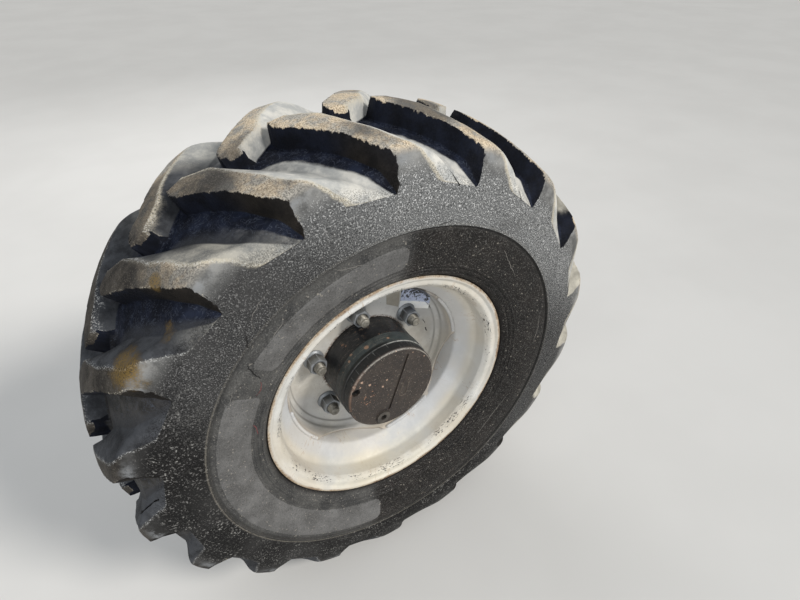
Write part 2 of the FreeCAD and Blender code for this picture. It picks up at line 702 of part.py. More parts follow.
def make_studs():
    """Studs pressed into the hub's flange from behind."""
    body = new_body("wheel_studs", STUD_PHASE)
    at = lambda sketch, size: circle(sketch, "stud_circle / 2", "0", size)
    head = pad(body, "head", lambda sketch: at(sketch, "stud_head"),
               HUB_BACK + " - head_height", "head_height")
    shank = pad(body, "shank", lambda sketch: at(sketch, "stud_diameter"), HUB_BACK,
                "flange_wall + disc_wall + stud_reach")
    tip = pad(body, "tip", lambda sketch: at(sketch, "stud_tip"),
              DISC_FACE + " + stud_reach", "tip_length")
    around(body, "circle", [head, shank, tip], STUD_COUNT)


def make_nuts():
    """Wheel nuts with round collars."""
    body = new_body("wheel_nuts", STUD_PHASE)
    collar = pad(body, "collar", lambda sketch: circle(
        sketch, "stud_circle / 2", "0", "nut_collar"
    ), DISC_FACE, "collar_height")
    top = pad(body, "hexagon", lambda sketch: hexagon(sketch, "stud_circle / 2", "nut_flats"),
              DISC_FACE + " + collar_height", "nut_height")
    thread = pocket(body, "thread", lambda sketch: circle(
        sketch, "stud_circle / 2", "0", "stud_diameter + 2 * thread_gap"
    ), DISC_FACE + " + collar_height + nut_height", "collar_height + nut_height")
    around(body, "circle", [collar, top, thread], STUD_COUNT)


def make_spindle():
    """Hollow stub that the hub turns on, flanged to the arm."""
    body = new_body("spindle")
    land = BARREL_END + " + seal_width"
    waist = "bearing_outer / 2 + journal_step"
    revolve(body, "casting", [
        ("spindle_bore / 2", ARM_END),
        (SPINDLE_FLANGE, ARM_END),
        (SPINDLE_FLANGE, SPINDLE_FACE),
        ("bearing_inner / 2 + relief", SPINDLE_FACE),
        ("bearing_inner / 2 + relief", land),
        ("bearing_inner / 2", land),
        ("bearing_inner / 2", land + " + bearing_width"),
        (waist, land + " + bearing_width + journal_step"),
        (waist, CHAMBER + " - bearing_width - journal_step"),
        ("bearing_outer / 2", CHAMBER + " - bearing_width"),
        ("bearing_outer / 2", SPINDLE_END),
        ("spindle_bore / 2", SPINDLE_END),
    ])
    hole = pocket(body, "bolt_hole", lambda sketch: circle(
        sketch, BOLT_PLACE, "0", "spindle_bolt"
    ), SPINDLE_FACE, "spindle_wall")
    around(body, "bolt_holes", [hole], SPINDLE_BOLT_COUNT)


def make_arm():
    """Cast arm of the axle, from the mounting flange to the spindle's flange."""
    body = new_body("axle_arm")
    revolve(body, "casting", [
        ("arm_bore / 2", "-spigot_height"),
        ("spigot_diameter / 2", "-spigot_height"),
        ("spigot_diameter / 2", "0"),
        ("arm_bolts / 2 + flange_margin", "0"),
        ("arm_bolts / 2 + flange_margin", "arm_flange_wall"),
        (HOUSING + " + cast_fillet", "arm_flange_wall"),
        (HOUSING, "arm_flange_wall + cast_fillet"),
        (HOUSING, "housing_length"),
        ("arm_tube / 2", "housing_length + cone_length"),
        ("arm_tube / 2", BOLT_SEAT),
        (SPINDLE_FLANGE, BOLT_SEAT),
        (SPINDLE_FLANGE, ARM_END),
        ("arm_bore / 2", ARM_END),
    ])
    hole = pocket(body, "mounting_hole", lambda sketch: circle(
        sketch, "arm_bolts / 2", "0", "arm_hole"
    ), "arm_flange_wall", "arm_flange_wall")
    around(body, "mounting_holes", [hole], ARM_HOLE_COUNT)
    around(body, "ribs", [add_rib(body)], RIB_COUNT)
    add_chassis_pad(body)
    bolt = pocket(body, "bolt_thread", lambda sketch: circle(
        sketch, BOLT_PLACE, "0", "spindle_bolt"
    ), ARM_END, "spindle_wall")
    around(body, "bolt_threads", [bolt], SPINDLE_BOLT_COUNT)


def add_rib(body):
    """One rib along the taper, from the mounting flange to the tube."""
    taper_end = "housing_length + cone_length"
    sketch = new_sketch(body, "rib_shape", "XZ_Plane")
    outline(sketch, [
        (HOUSING + " - rib_sink", "arm_flange_wall - rib_sink"),
        (HOUSING + " + rib_rise", "arm_flange_wall - rib_sink"),
        (HOUSING + " + rib_rise", "housing_length"),
        ("arm_tube / 2 + rib_rise", taper_end),
        ("arm_tube / 2 - rib_sink", taper_end + " + rib_tail"),
        ("arm_tube / 2 - rib_sink", taper_end),
        (HOUSING + " - rib_sink", "housing_length"),
    ])
    rib = body.newObject("PartDesign::Pad", body.Name + "_rib")
    rib.Profile = sketch
    rib.Midplane = True
    bind(rib, "Length", "rib_wall")
    body.Tip = rib
    return rib


def add_chassis_pad(body):
    """Flat pad above the tube on a web, with its four holes."""
    web = "(arm_tube / 2 - web_inset)"
    under = "pad_height - pad_wall"
    root = "arm_bore / 2 + web_inset"
    corners = [("pad_width / 2", "pad_height"), ("pad_width / 2", under), (web, under), (web, root)]
    mirrored = [("-" + x, y) for x, y in corners[::-1]]
    pad(body, "pad", lambda sketch: outline(sketch, mirrored + corners),
        PAD_CENTRE + " - pad_length / 2", "pad_length")
    sketch = new_sketch(body, "pad_hole_shape", "XZ_Plane", "-pad_height")
    for x in ("pad_pitch_x / 2", "-pad_pitch_x / 2"):
        for y in (PAD_CENTRE + " + pad_pitch_y / 2", PAD_CENTRE + " - pad_pitch_y / 2"):
            circle(sketch, x, y, "pad_hole")
    holes = body.newObject("PartDesign::Pocket", body.Name + "_pad_holes")
    holes.Profile = sketch
    holes.Reversed = True
    bind(holes, "Length", "pad_wall")
    body.Tip = holes


def make_spindle_bolts():
    """Bolts that hold the spindle to the arm, with plain hexagon heads."""
    body = new_body("spindle_bolts")
    shank = pad(body, "shank", lambda sketch: circle(sketch, BOLT_PLACE, "0", "spindle_bolt"),
                BOLT_SEAT, "2 * spindle_wall")
    head = pad(body, "head", lambda sketch: hexagon(sketch, BOLT_PLACE, "bolt_flats"),
               BOLT_SEAT + " - bolt_head", "bolt_head")
    around(body, "circle", [shank, head], SPINDLE_BOLT_COUNT)


def make_bush():
    """Bush in the end of the spindle that carries the half shaft."""
    body = new_body("shaft_bush")
    revolve(body, "ring", [
        ("shaft_diameter / 2 + running_gap", SPINDLE_END + " - bush_length"),
        ("spindle_bore / 2", SPINDLE_END + " - bush_length"),
        ("spindle_bore / 2", SPINDLE_END),
        ("shaft_diameter / 2 + running_gap", SPINDLE_END),
    ])


def make_shaft():
    body = new_body("half_shaft")
    spline_end = "shaft_end + spline_length"
    revolve(body, "bar", [
        ("0", "shaft_end"),
        ("spline_diameter / 2", "shaft_end"),
        ("spline_diameter / 2", spline_end),
        ("shaft_diameter / 2", spline_end + " + spline_fade"),
        ("shaft_diameter / 2", SPINDLE_END + " + shaft_nose"),
        ("0", SPINDLE_END + " + shaft_nose"),
    ])


make_tyre()
make_rim()
make_disc()
make_valve()
make_hub()
make_gear_ring()
make_cover()
make_level_plug()
make_cover_screw()
make_seal()
make_studs()
make_nuts()
make_spindle()
make_arm()
make_spindle_bolts()
make_bush()
make_shaft()
doc.recompute()

for item in doc.Objects:
    faults = [word for word in item.State if word in ("Invalid", "Error")]
    if faults:
        raise RuntimeError("%s is %s" % (item.Label, faults))
os.makedirs("parts", exist_ok=True)
for item in parts:
    shape = item.Shape
    if shape.isNull() or not shape.isValid():
        raise RuntimeError("%s has no valid shape" % item.Label)
    shape.exportStep(os.path.join("parts", item.Label + ".step"))
    print("%-18s solids %d volume %.1f" % (item.Label, len(shape.Solids), shape.Volume))
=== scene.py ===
import math

import bpy
import numpy as np
from mathutils import Matrix, Vector, noise


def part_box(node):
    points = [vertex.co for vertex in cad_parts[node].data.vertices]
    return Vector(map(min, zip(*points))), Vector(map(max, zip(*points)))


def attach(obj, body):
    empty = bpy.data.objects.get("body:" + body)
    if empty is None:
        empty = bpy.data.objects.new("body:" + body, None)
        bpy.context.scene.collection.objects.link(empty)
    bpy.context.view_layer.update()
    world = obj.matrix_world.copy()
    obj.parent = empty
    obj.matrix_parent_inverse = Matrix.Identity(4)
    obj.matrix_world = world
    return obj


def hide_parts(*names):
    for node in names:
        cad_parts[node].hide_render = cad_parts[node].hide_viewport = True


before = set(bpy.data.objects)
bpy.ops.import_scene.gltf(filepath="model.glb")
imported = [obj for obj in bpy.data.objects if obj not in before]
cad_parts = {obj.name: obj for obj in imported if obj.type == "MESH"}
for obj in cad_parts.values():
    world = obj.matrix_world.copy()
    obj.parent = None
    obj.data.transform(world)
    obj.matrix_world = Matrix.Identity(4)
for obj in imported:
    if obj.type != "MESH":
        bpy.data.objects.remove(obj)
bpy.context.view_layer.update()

# Places are given by a radius, an angle and a distance outwards along the wheel axis, in
# millimetres. Angles are in degrees from +X towards +Z, seen from outside.
MM = 0.001
TYRE_LOW, TYRE_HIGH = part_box("tyre")
CENTRE_Y = (TYRE_LOW.y + TYRE_HIGH.y) / 2
CROWN = TYRE_HIGH.z / MM - 0.4
FLOOR_Z = TYRE_LOW.z


def outwards(y):
    return (CENTRE_Y - y) / MM


DISC_FACE = outwards(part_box("wheel_nuts")[1].y)
DRUM_END = outwards(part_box("gear_ring")[1].y)
RING_END = outwards(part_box("gear_ring")[0].y)
COVER_END = outwards(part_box("carrier_cover")[0].y)
STUD_END = outwards(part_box("wheel_studs")[0].y)
STUD_BACK = outwards(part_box("wheel_studs")[1].y)
RIM_END = outwards(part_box("rim")[0].y)
FLANGE_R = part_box("rim")[1].z / MM
RING_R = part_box("gear_ring")[1].z / MM
VALVE_END = outwards(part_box("valve_stem")[0].y)
LUG_COUNT = 18
LUG_PHASE = 5.4
STUD_COUNT = 6
STUD_PHASE = 38.5
STUD_RADIUS = 102.5
ARCH_COUNT = 4
ARCH_PHASE = 68.0
VALVE_PHASE = 119.0
VALVE_RADIUS = 175.9
GROOVE_TURN = 71.2
rng = np.random.default_rng(7)


# Geometry
def spot(radius, angle, out):
    """World points from a radius, an angle in degrees and a distance outwards."""
    turn = np.radians(angle)
    return np.stack(
        np.broadcast_arrays(
            radius * np.cos(turn) * MM, CENTRE_Y - np.asarray(out) * MM, radius * np.sin(turn) * MM
        ),
        axis=-1,
    )


def smooth_table(at, keys, values):
    """Smooth curve through a table of values, without overshoot between level points."""
    keys, values = np.asarray(keys, float), np.asarray(values, float)
    steps = np.diff(keys)
    slopes = np.diff(values) / steps
    tangents = np.concatenate([slopes[:1], np.zeros(len(slopes) - 1), slopes[-1:]])
    same = slopes[:-1] * slopes[1:] > 0
    product = slopes[:-1] * slopes[1:]
    tangents[1:-1][same] = 2 * product[same] / (slopes[:-1] + slopes[1:])[same]
    at = np.clip(at, keys[0], keys[-1])
    index = np.clip(np.searchsorted(keys, at, side="right") - 1, 0, len(steps) - 1)
    t = (at - keys[index]) / steps[index]
    bend = steps[index] * t * (1 - t)
    start = (1 + 2 * t) * (1 - t) ** 2 * values[index]
    end = t * t * (3 - 2 * t) * values[index + 1]
    return start + end + bend * ((1 - t) * tangents[index] - t * tangents[index + 1])


def ease(t):
    t = np.clip(t, 0, 1)
    return t * t * (3 - 2 * t)


def wobble(points, scale, seed):
    """Smooth noise between about -1 and 1 at each point."""
    shift = Vector((seed * 3.7, seed * 1.3, seed * 2.1))
    flat = np.asarray(points).reshape(-1, 3)
    found = [noise.noise(Vector(point) * scale + shift) for point in flat]
    return np.array(found).reshape(np.asarray(points).shape[:-1])


def lengths_of(section):
    """Distances along a section from its first point."""
    return np.concatenate([[0.0], np.cumsum(np.hypot(*np.diff(section, axis=0).T))])


def build(name, points, faces, material, body, nodes=(), crease=40.0):
    """Mesh piece that rides on a body, takes a slot's finish and stands for CAD nodes."""
    mesh = bpy.data.meshes.new(name)
    mesh.from_pydata([tuple(point) for point in np.reshape(points, (-1, 3))], [], faces)
    mesh.validate()
    mesh.update()
    mesh.shade_smooth()
    mesh.set_sharp_from_angle(angle=math.radians(crease))
    piece = bpy.data.objects.new(name, mesh)
    bpy.context.scene.collection.objects.link(piece)
    mesh.materials.append(material)
    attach(piece, body)
    for node in nodes:
        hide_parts(node)
    return piece


def grid_faces(rows, columns, wrap_columns=True, wrap_rows=False, start=0):
    """Quads of a grid of points that is numbered row by row."""
    faces = []
    for i in range(rows if wrap_rows else rows - 1):
        for j in range(columns if wrap_columns else columns - 1):
            k = (i + 1) % rows
            m = (j + 1) % columns
            corners = (i * columns + j, i * columns + m, k * columns + m, k * columns + j)
            faces.append(tuple(start + corner for corner in corners))
    return faces


def paint(piece, name, values):
    """Stores a number per vertex for the materials to read."""
    attribute = piece.data.attributes.new(name, "FLOAT", "POINT")
    attribute.data.foreach_set("value", np.asarray(values, np.float32).ravel())


def fillet(corners, steps=4):
    """Rounds the corners (a, b, radius) of a closed outline into short arcs."""
    rounded = []
    count = len(corners)
    for index, (a, b, radius) in enumerate(corners):
        here = Vector((a, b))
        back = Vector(corners[index - 1][:2]) - here
        ahead = Vector(corners[(index + 1) % count][:2]) - here
        if radius <= 0:
            rounded.append((a, b))
            continue
        half = back.angle(ahead) / 2
        reach = min(radius / math.tan(half), back.length * 0.49, ahead.length * 0.49)
        start, end = here + back.normalized() * reach, here + ahead.normalized() * reach
        for step in range(steps + 1):
            t = step / steps
            rounded.append(tuple(start * (1 - t) ** 2 + here * 2 * t * (1 - t) + end * t * t))
    return np.array(rounded)


def lathe(name, corners, material, body, nodes=(), segments=180, steps=4):
    """Closed section (radius, outwards, fillet) turned about the wheel axis."""
    section = fillet(corners, steps)
    angles = np.arange(segments) * 360.0 / segments
    points = spot(section[:, :1], angles[None, :], section[:, 1:])
    faces = grid_faces(len(section), segments, wrap_rows=True)
    return build(name, points, faces, material, body, nodes)


def small_turned(section, radius, angle, segments=36, shape=None):
    """Points and faces of a small closed turning whose own axis is parallel to the wheel's."""
    section = np.asarray(section, float)
    turn = np.arange(segments)[None, :] * 360.0 / segments
    reach = np.broadcast_to(section[:, :1], (len(section), segments))
    out = np.broadcast_to(section[:, 1:2], (len(section), segments))
    if shape:
        reach, out = shape(reach, out, turn)
    centre = spot(radius, angle, 0.0)
    offset = np.stack(
        [reach * np.cos(np.radians(turn)) * MM, -out * MM, reach * np.sin(np.radians(turn)) * MM],
        axis=-1,
    )
    points = (centre + offset).reshape(-1, 3)
    faces = grid_faces(len(section), segments)
    rows = len(section)
    faces.append(tuple(range(segments)))
    faces.append(tuple(reversed(range((rows - 1) * segments, rows * segments))))
    return points, faces


def join(parts):
    """One list of points and faces from several."""
    points, faces = [], []
    for part_points, part_faces in parts:
        start = sum(len(group) for group in points)
        points.append(np.reshape(part_points, (-1, 3)))
        faces += [tuple(start + corner for corner in face) for face in part_faces]
    return np.concatenate(points), faces


def sheet(path, lift, thick):
    """Closed thin sheet from a grid of (radius, angle, outwards) points lifted off a surface."""
    rows, columns = path.shape[:2]
    top = spot(path[..., 0], path[..., 1], path[..., 2] + lift)
    under = spot(path[..., 0], path[..., 1], path[..., 2] + lift - thick)
    count = rows * columns
    faces = grid_faces(rows, columns, wrap_columns=False)
    faces += [tuple(count + k for k in reversed(face)) for face in faces]
    border = [j for j in range(columns)]
    border += [i * columns + columns - 1 for i in range(1, rows)]
    border += [(rows - 1) * columns + j for j in reversed(range(columns - 1))]
    border += [i * columns for i in reversed(range(1, rows - 1))]
    for here, after in zip(border, border[1:] + border[:1]):
        faces.append((after, here, count + here, count + after))
    return np.concatenate([top.reshape(-1, 3), under.reshape(-1, 3)]), faces


def sliver(knots, width, lift, sink, surface, bend=1.2):
    """Closed thin strip along (radius, angle) knots that hugs a surface and tapers off."""
    knots = np.array(knots, float)
    x = knots[:, 0] * np.cos(np.radians(knots[:, 1]))
    z = knots[:, 0] * np.sin(np.radians(knots[:, 1]))
    along = lengths_of(np.stack([x, z], axis=-1))
    fine = np.linspace(0, along[-1], max(6, int(along[-1] / 2.5)))
    x, z = smooth_table(fine, along, x), smooth_table(fine, along, z)
    dx, dz = np.gradient(x, fine), np.gradient(z, fine)
    size = np.hypot(dx, dz)
    side_x, side_z = -dz / size, dx / size
    sway = rng.normal(0, bend * 0.35, len(fine))
    half = width / 2 * np.sin(np.pi * np.linspace(0.04, 0.96, len(fine))) ** 0.5
    half = half * rng.uniform(0.7, 1.2, len(fine))
    ring = []
    for across, raise_by in ((-1, 0.0), (0, lift), (1, 0.0), (0, -sink)):
        px = x + side_x * (across * half + sway)
        pz = z + side_z * (across * half + sway)
        radius = np.hypot(px, pz)
        angle = np.degrees(np.arctan2(pz, px))
        ring.append(spot(radius, angle, surface(radius) + raise_by))
    points = np.stack(ring, axis=1)
    rows = len(fine)
    faces = grid_faces(rows, 4)
    faces += [(3, 2, 1, 0), tuple(4 * (rows - 1) + k for k in range(4))]
    return points.reshape(-1, 3), faces


# Materials
class Value:
    """A number that a material works out at each place, with the sums that materials need."""

    def __init__(self, shade, socket):
        self.shade = shade
        self.socket = socket

    def __add__(self, other):
        return self.shade.math("ADD", self, other)

    def __sub__(self, other):
        return self.shade.math("SUBTRACT", self, other)

    def __rsub__(self, other):
        return self.shade.math("SUBTRACT", other, self)

    def __mul__(self, other):
        return self.shade.math("MULTIPLY", self, other)

    def __abs__(self):
        return self.shade.math("ABSOLUTE", self)

    def most(self, other):
        return self.shade.math("MAXIMUM", self, other)

    def shaken(self, texture, amount):
        """Adds a texture's swing about its middle."""
        return self + (texture - 0.5) * amount

    def span(self, low, high, start=0.0, end=1.0):
        """Maps low..high to start..end, clamped and eased."""
        node = self.shade.node("MapRange", Value=self)
        node.interpolation_type = "SMOOTHSTEP"
        for socket, limit in zip(node.inputs[1:5], (low, high, start, end)):
            socket.default_value = limit
        return Value(self.shade, node.outputs["Result"])

    def near(self, centre, reach):
        """1 where the value is at a centre, falling to 0 a reach away."""
        return abs(self - centre).span(reach, 0.0)


class Shade:
    """Builds one procedural material with few words."""

    def __init__(self, name, roughness=0.6, metallic=0.0, specular=0.5):
        self.material = bpy.data.materials.new(name)
        self.material.use_nodes = True
        self.nodes = self.material.node_tree.nodes
        self.surface = self.nodes["Principled BSDF"]
        self.surface.inputs["Roughness"].default_value = roughness
        self.surface.inputs["Metallic"].default_value = metallic
        self.surface.inputs["Specular IOR Level"].default_value = specular
        self.place = self.nodes.new("ShaderNodeTexCoord").outputs["Object"]
        parts = self.node("SeparateXYZ", Vector=self.place).outputs
        self.x, self.y, self.z = (Value(self, part) for part in parts)

    def node(self, kind, **sockets):
        """New node of a kind, with a value or a link for each named socket."""
        node = self.nodes.new("ShaderNode" + kind)
        for socket, value in sockets.items():
            self.put(node.inputs[socket], value)
        return node

    def put(self, socket, value):
        """Links or sets a socket. A colour of whole numbers is in screen values."""
        value = value.socket if isinstance(value, Value) else value
        if isinstance(value, bpy.types.NodeSocket):
            self.material.node_tree.links.new(value, socket)
        elif socket.type == "RGBA":
            colour = rgb(*value) if isinstance(value[0], int) else value
            socket.default_value = (*colour, 1.0)
        else:
            socket.default_value = value

    def noise(self, scale, detail=5.0, rough=0.6, bend=0.0, where=None):
        node = self.node("TexNoise", Vector=where or self.place, Scale=scale, Detail=detail)
        self.put(node.inputs["Roughness"], rough)
        self.put(node.inputs["Distortion"], bend)
        return Value(self, node.outputs["Fac"])

    def math(self, kind, a, b=0.0):
        node = self.node("Math")
        node.operation = kind
        self.put(node.inputs[0], a)
        self.put(node.inputs[1], b)
        return Value(self, node.outputs[0])

    def stored(self, name):
        """Number that was painted on the piece's vertices."""
        node = self.node("Attribute")
        node.attribute_name = name
        return Value(self, node.outputs["Fac"])

    def radius(self):
        """Distance from the wheel axis, in millimetres."""
        square = self.x * self.x + self.z * self.z
        return self.math("SQRT", square) * (1 / MM)

    def towards(self, angle):
        """Distance from the wheel's axis towards an angle, in millimetres."""
        turn = math.radians(angle)
        return self.x * (math.cos(turn) / MM) + self.z * (math.sin(turn) / MM)

    def gap_to(self, place):
        """Distance to a place, in millimetres."""
        node = self.node("VectorMath")
        node.operation = "DISTANCE"
        self.put(node.inputs[0], self.place)
        node.inputs[1].default_value = tuple(place)
        return Value(self, node.outputs["Value"]) * (1 / MM)

    def out(self):
        """Distance outwards from the wheel's centre plane, in millimetres."""
        return (CENTRE_Y - self.y) * (1 / MM)

    def ring_place(self, around, across, deep=0.0):
        """Coordinates that follow the wheel: around it, along its axis and along its radius."""
        radius = self.radius()
        stretch = radius * deep + around
        x = self.math("DIVIDE", self.x, radius * MM) * stretch
        z = self.math("DIVIDE", self.z, radius * MM) * stretch
        return self.node("CombineXYZ", X=x, Y=self.y * (across / MM), Z=z).outputs[0]

    def bump(self, height, strength, depth_mm, under=None):
        node = self.node("Bump", Strength=strength, Distance=depth_mm * MM, Height=height)
        if under:
            self.put(node.inputs["Normal"], under)
        return node.outputs["Normal"]

    def done(self, colour, rough=None, normal=None):
        self.put(self.surface.inputs["Base Color"], colour)
        if rough is not None:
            self.put(self.surface.inputs["Roughness"], rough)
        if normal is not None:
            self.put(self.surface.inputs["Normal"], normal)
        return self.material


def mix(share, a, b):
    """Colour a where the share is 0 and b where it is 1."""
    node = share.shade.node("Mix")
    node.data_type = "RGBA"
    share.shade.put(node.inputs["Factor"], share)
    share.shade.put(node.inputs[6], a)
    share.shade.put(node.inputs[7], b)
    return node.outputs[2]


def coats(colour, *layers):
    """Lays coats (share, colour) over a colour, one after the other."""
    for share, coat in layers:
        colour = mix(share, colour, coat)
    return colour


def rgb(red, green, blue):
    """Linear colour from 0 to 255 screen values."""
    return tuple(
        value / 255 / 12.92 if value <= 10 else ((value / 255 + 0.055) / 1.055) ** 2.4
        for value in (red, green, blue)
    )


# Directions of painted light on the tread: dust with painted sunlight, the sunlit side and the
# glare
DUST_AND_SUN_ANGLE = 55.0
SUNLIT_ANGLE = 41.0
GLARE_ANGLE = 60.0
MUD = [
    # place as radius, angle and distance outwards, then the size of the patch
    ((413.5, 133.7, 93.0), 13.0),
    ((396.0, 139.3, 116.0), 20.0),
    ((408.0, 148.0, 114.0), 34.0),
]


def tread_rubber():
    """Worn traction tread: dusty tops, frayed steep edges, pebbled shoulders; painted sunlight and
    glare towards the light, painted shade in the grooves and on the far side.
    """
    shade = Shade("tyre_tread_rubber", 0.75, specular=0.14)
    gentle = shade.stored("from_gentle")
    steep = shade.stored("from_steep")
    groove, down, crack = shade.stored("groove"), shade.stored("down"), shade.stored("crack")
    fine = shade.noise(520.0, 6.0, 0.7)
    patch = shade.noise(36.0, 6.0, 0.65)
    broad = shade.noise(8.0, 3.0, 0.5)
    streak = shade.noise(1.0, 4.0, 0.65, where=shade.ring_place(95.0, 0.24))
    pebble = shade.noise(560.0, 3.0, 0.55)
    # Pebble grain: paler grain tops are painted highlight and darker pits are painted shade on the
    # pebble relief
    grain = pebble.span(0.5, 0.62)
    pits = pebble.span(0.46, 0.38)
    sparse = shade.noise(330.0, 2.0, 0.5).span(0.58, 0.66)
    inward = abs(shade.out())
    # dust: real dust laid on the side towards the light, where it also stands for painted sunlight
    dust = shade.towards(DUST_AND_SUN_ANGLE).shaken(broad, 240.0).span(-150.0, 10.0)
    # Painted sunlight: the side facing the light gets lit flanks and dusty tops, the far side the
    # shaded flank and dark tops
    sunlit_side = shade.towards(SUNLIT_ANGLE).shaken(broad, 120.0).span(-70.0, 50.0)
    glare = shade.towards(GLARE_ANGLE).shaken(broad, 90.0).span(150.0, 310.0)
    # Painted sunlight on the steep walls that face the light, cut away by a painted shadow band
    # between two heights
    sunny = shade.towards(0.0).shaken(patch, 60.0).span(285.0, 325.0)
    level = shade.towards(90.0).shaken(patch, 18.0)
    shadow_band = level.span(140.0, 152.0) * level.span(232.0, 220.0)
    sunny = sunny * shadow_band.span(1.0, 0.0)
    hair = shade.noise(46.0, 3.0, 0.5, 2.6).near(0.5, 0.0055)
    hair = hair * patch.span(0.5, 0.6)
    dusty = mix(fine.span(0.38, 0.6), (116, 113, 107), (192, 186, 175))
    beige = mix(fine.span(0.38, 0.6), (150, 132, 110), (232, 214, 186))
    sunward = shade.towards(20.0).shaken(patch, 90.0).span(-90.0, 60.0)
    ends = inward.shaken(broad, 70.0).span(48.0, 96.0)
    # Share of painted sunlight: the outer ends of the lugs and the side facing the light
    sunlit_share = ends.most(sunward)
    top = coats(
        mix(patch.span(0.42, 0.58), dusty, beige),
        (broad.span(0.52, 0.66, 0.0, 0.8), (76, 74, 72)),
        (fine.span(0.38, 0.3, 0.0, 0.7), (58, 54, 50)),
    )
    # bare: dark lug tops, painted shade where the light does not fall
    bare = coats(
        mix(patch.span(0.36, 0.64), (40, 36, 33), (74, 69, 63)),
        (fine.span(0.54, 0.64, 0.0, 0.55), (126, 120, 110)),
    )
    smooth = mix(patch.span(0.36, 0.64), (96, 96, 95), (150, 149, 146))
    # worn: darker shoulder rubber for the side away from the light, painted shade
    worn = mix(patch.span(0.36, 0.64), (48, 47, 46), (74, 73, 72))
    scuffed = down.near(14.0, 15.0) * steep.span(34.0, 6.0)
    scuffed = scuffed * patch.shaken(fine, 0.35).span(0.42, 0.56)
    # Painted glare: paler copy of the pebbled shoulder where the glare falls
    glare_lit_pebbled = coats(
        mix(grain, (118, 119, 119), (202, 202, 201)),
        (pits * 0.85, (58, 58, 58)),
    )
    pebbled = coats(
        mix(grain, (62, 62, 62), (128, 127, 126)),
        (pits * 0.9, (34, 34, 34)),
        (glare, glare_lit_pebbled),
    )
    # dark: darker pebbled shoulder for the side away from the light, painted shade
    dark = coats(
        mix(grain * patch.span(0.38, 0.6, 0.25, 0.8), (29, 28, 28), (68, 67, 66)),
        (pits * 0.85, (15, 15, 15)),
        (sparse * patch.span(0.42, 0.6, 0.2, 0.9), (156, 154, 150)),
    )
    # white: paler copy of the flank where the glare falls, painted glare
    white = mix(patch.span(0.35, 0.66), (178, 179, 177), (220, 217, 209))
    flank = coats(
        mix(patch.span(0.35, 0.66), (108, 108, 106), (164, 160, 150)),
        (fine.span(0.5, 0.64, 0.0, 0.6), (186, 181, 168)),
        (glare, white),
    )
    shaded = mix(patch.span(0.35, 0.66), (46, 47, 50), (74, 76, 80))
    # Steep walls: dark brown near the shoulder and navy deeper in, painted shade
    brown_share = inward.shaken(broad, 60.0).span(62.0, 104.0)
    brown_share = brown_share * shade.towards(50.0).span(330.0, 270.0)
    brown = mix(patch.span(0.35, 0.7), (21, 19, 18), (40, 36, 32))
    navy = mix(patch.span(0.35, 0.7), (10, 12, 19), (22, 26, 38))
    # clear: pale dusty wall colour, painted sunlight
    clear = coats(
        mix(patch.span(0.35, 0.66), (150, 146, 136), (196, 191, 178)),
        (broad.span(0.55, 0.6), (44, 46, 52)),
    )
    # Greyer groove floor on the side away from the light, where the navy painted shade stops
    far_side_floor = mix(patch.span(0.36, 0.66), (44, 43, 42), (72, 70, 68))
    scratch = shade.noise(70.0, 4.0, 0.6, 1.5).near(0.5, 0.018)
    across = shade.stored("open").shaken(patch, 0.35)
    lit = across.span(0.42, 0.62) * dust * sunward
    # Painted shade on the flanks away from the light
    flank = mix(sunlit_side * sunlit_share, shaded, flank)
    ragged = steep.shaken(streak, 13.0).shaken(patch, 9.0)
    on_top = ragged.span(-0.6, 0.9)
    # Painted shade: lug tops turn dark away from the light
    top = mix(sunlit_side * sunlit_share.span(0.0, 1.0, 0.25, 1.0), bare, top)
    # Shoulders: dusty and painted sunlit towards the light, painted shade on the far side
    smooth = coats(
        mix(dust, worn, smooth),
        (scuffed * 0.8, (134, 136, 138)),
    )
    pebbled = coats(
        mix(dust, dark, pebbled),
        (broad.span(0.46, 0.64, 0.0, 0.4), (74, 73, 72)),
    )
    soft_edge = gentle.shaken(patch, 5.0).span(-1.5, 1.5)
    raised = coats(
        mix(down.shaken(patch, 16.0).span(-3.0, 11.0), top, smooth),
        (down.shaken(patch, 46.0).span(14.0, 42.0), pebbled),
        (hair * 0.6, (150, 148, 143)),
    )
    swayed = gentle.shaken(patch, 16.0).shaken(broad, 10.0)
    # bright: pale dusty line along the gentle edge, shown only on the side facing the light: dust
    # and painted highlight
    bright = swayed.near(1.0, 6.5) * fine.span(0.36, 0.52)
    bright = bright * broad.span(0.64, 0.46, 0.25, 0.9) * sunlit_side
    chipped = swayed.near(1.0, 4.5) * fine.span(0.53, 0.57)
    wall = coats(
        mix(brown_share, navy, brown),
        (sunny, clear),
    )
    raised = coats(
        mix(soft_edge, flank, raised),
        (bright, (210, 200, 178)),
        (chipped * 0.85, (190, 190, 188)),
    )
    speck = ragged.near(1.6, 2.0) * fine.span(0.53, 0.58)
    speck = speck * patch.span(0.5, 0.6)
    low = groove.shaken(patch, 0.35).span(0.35, 0.75)
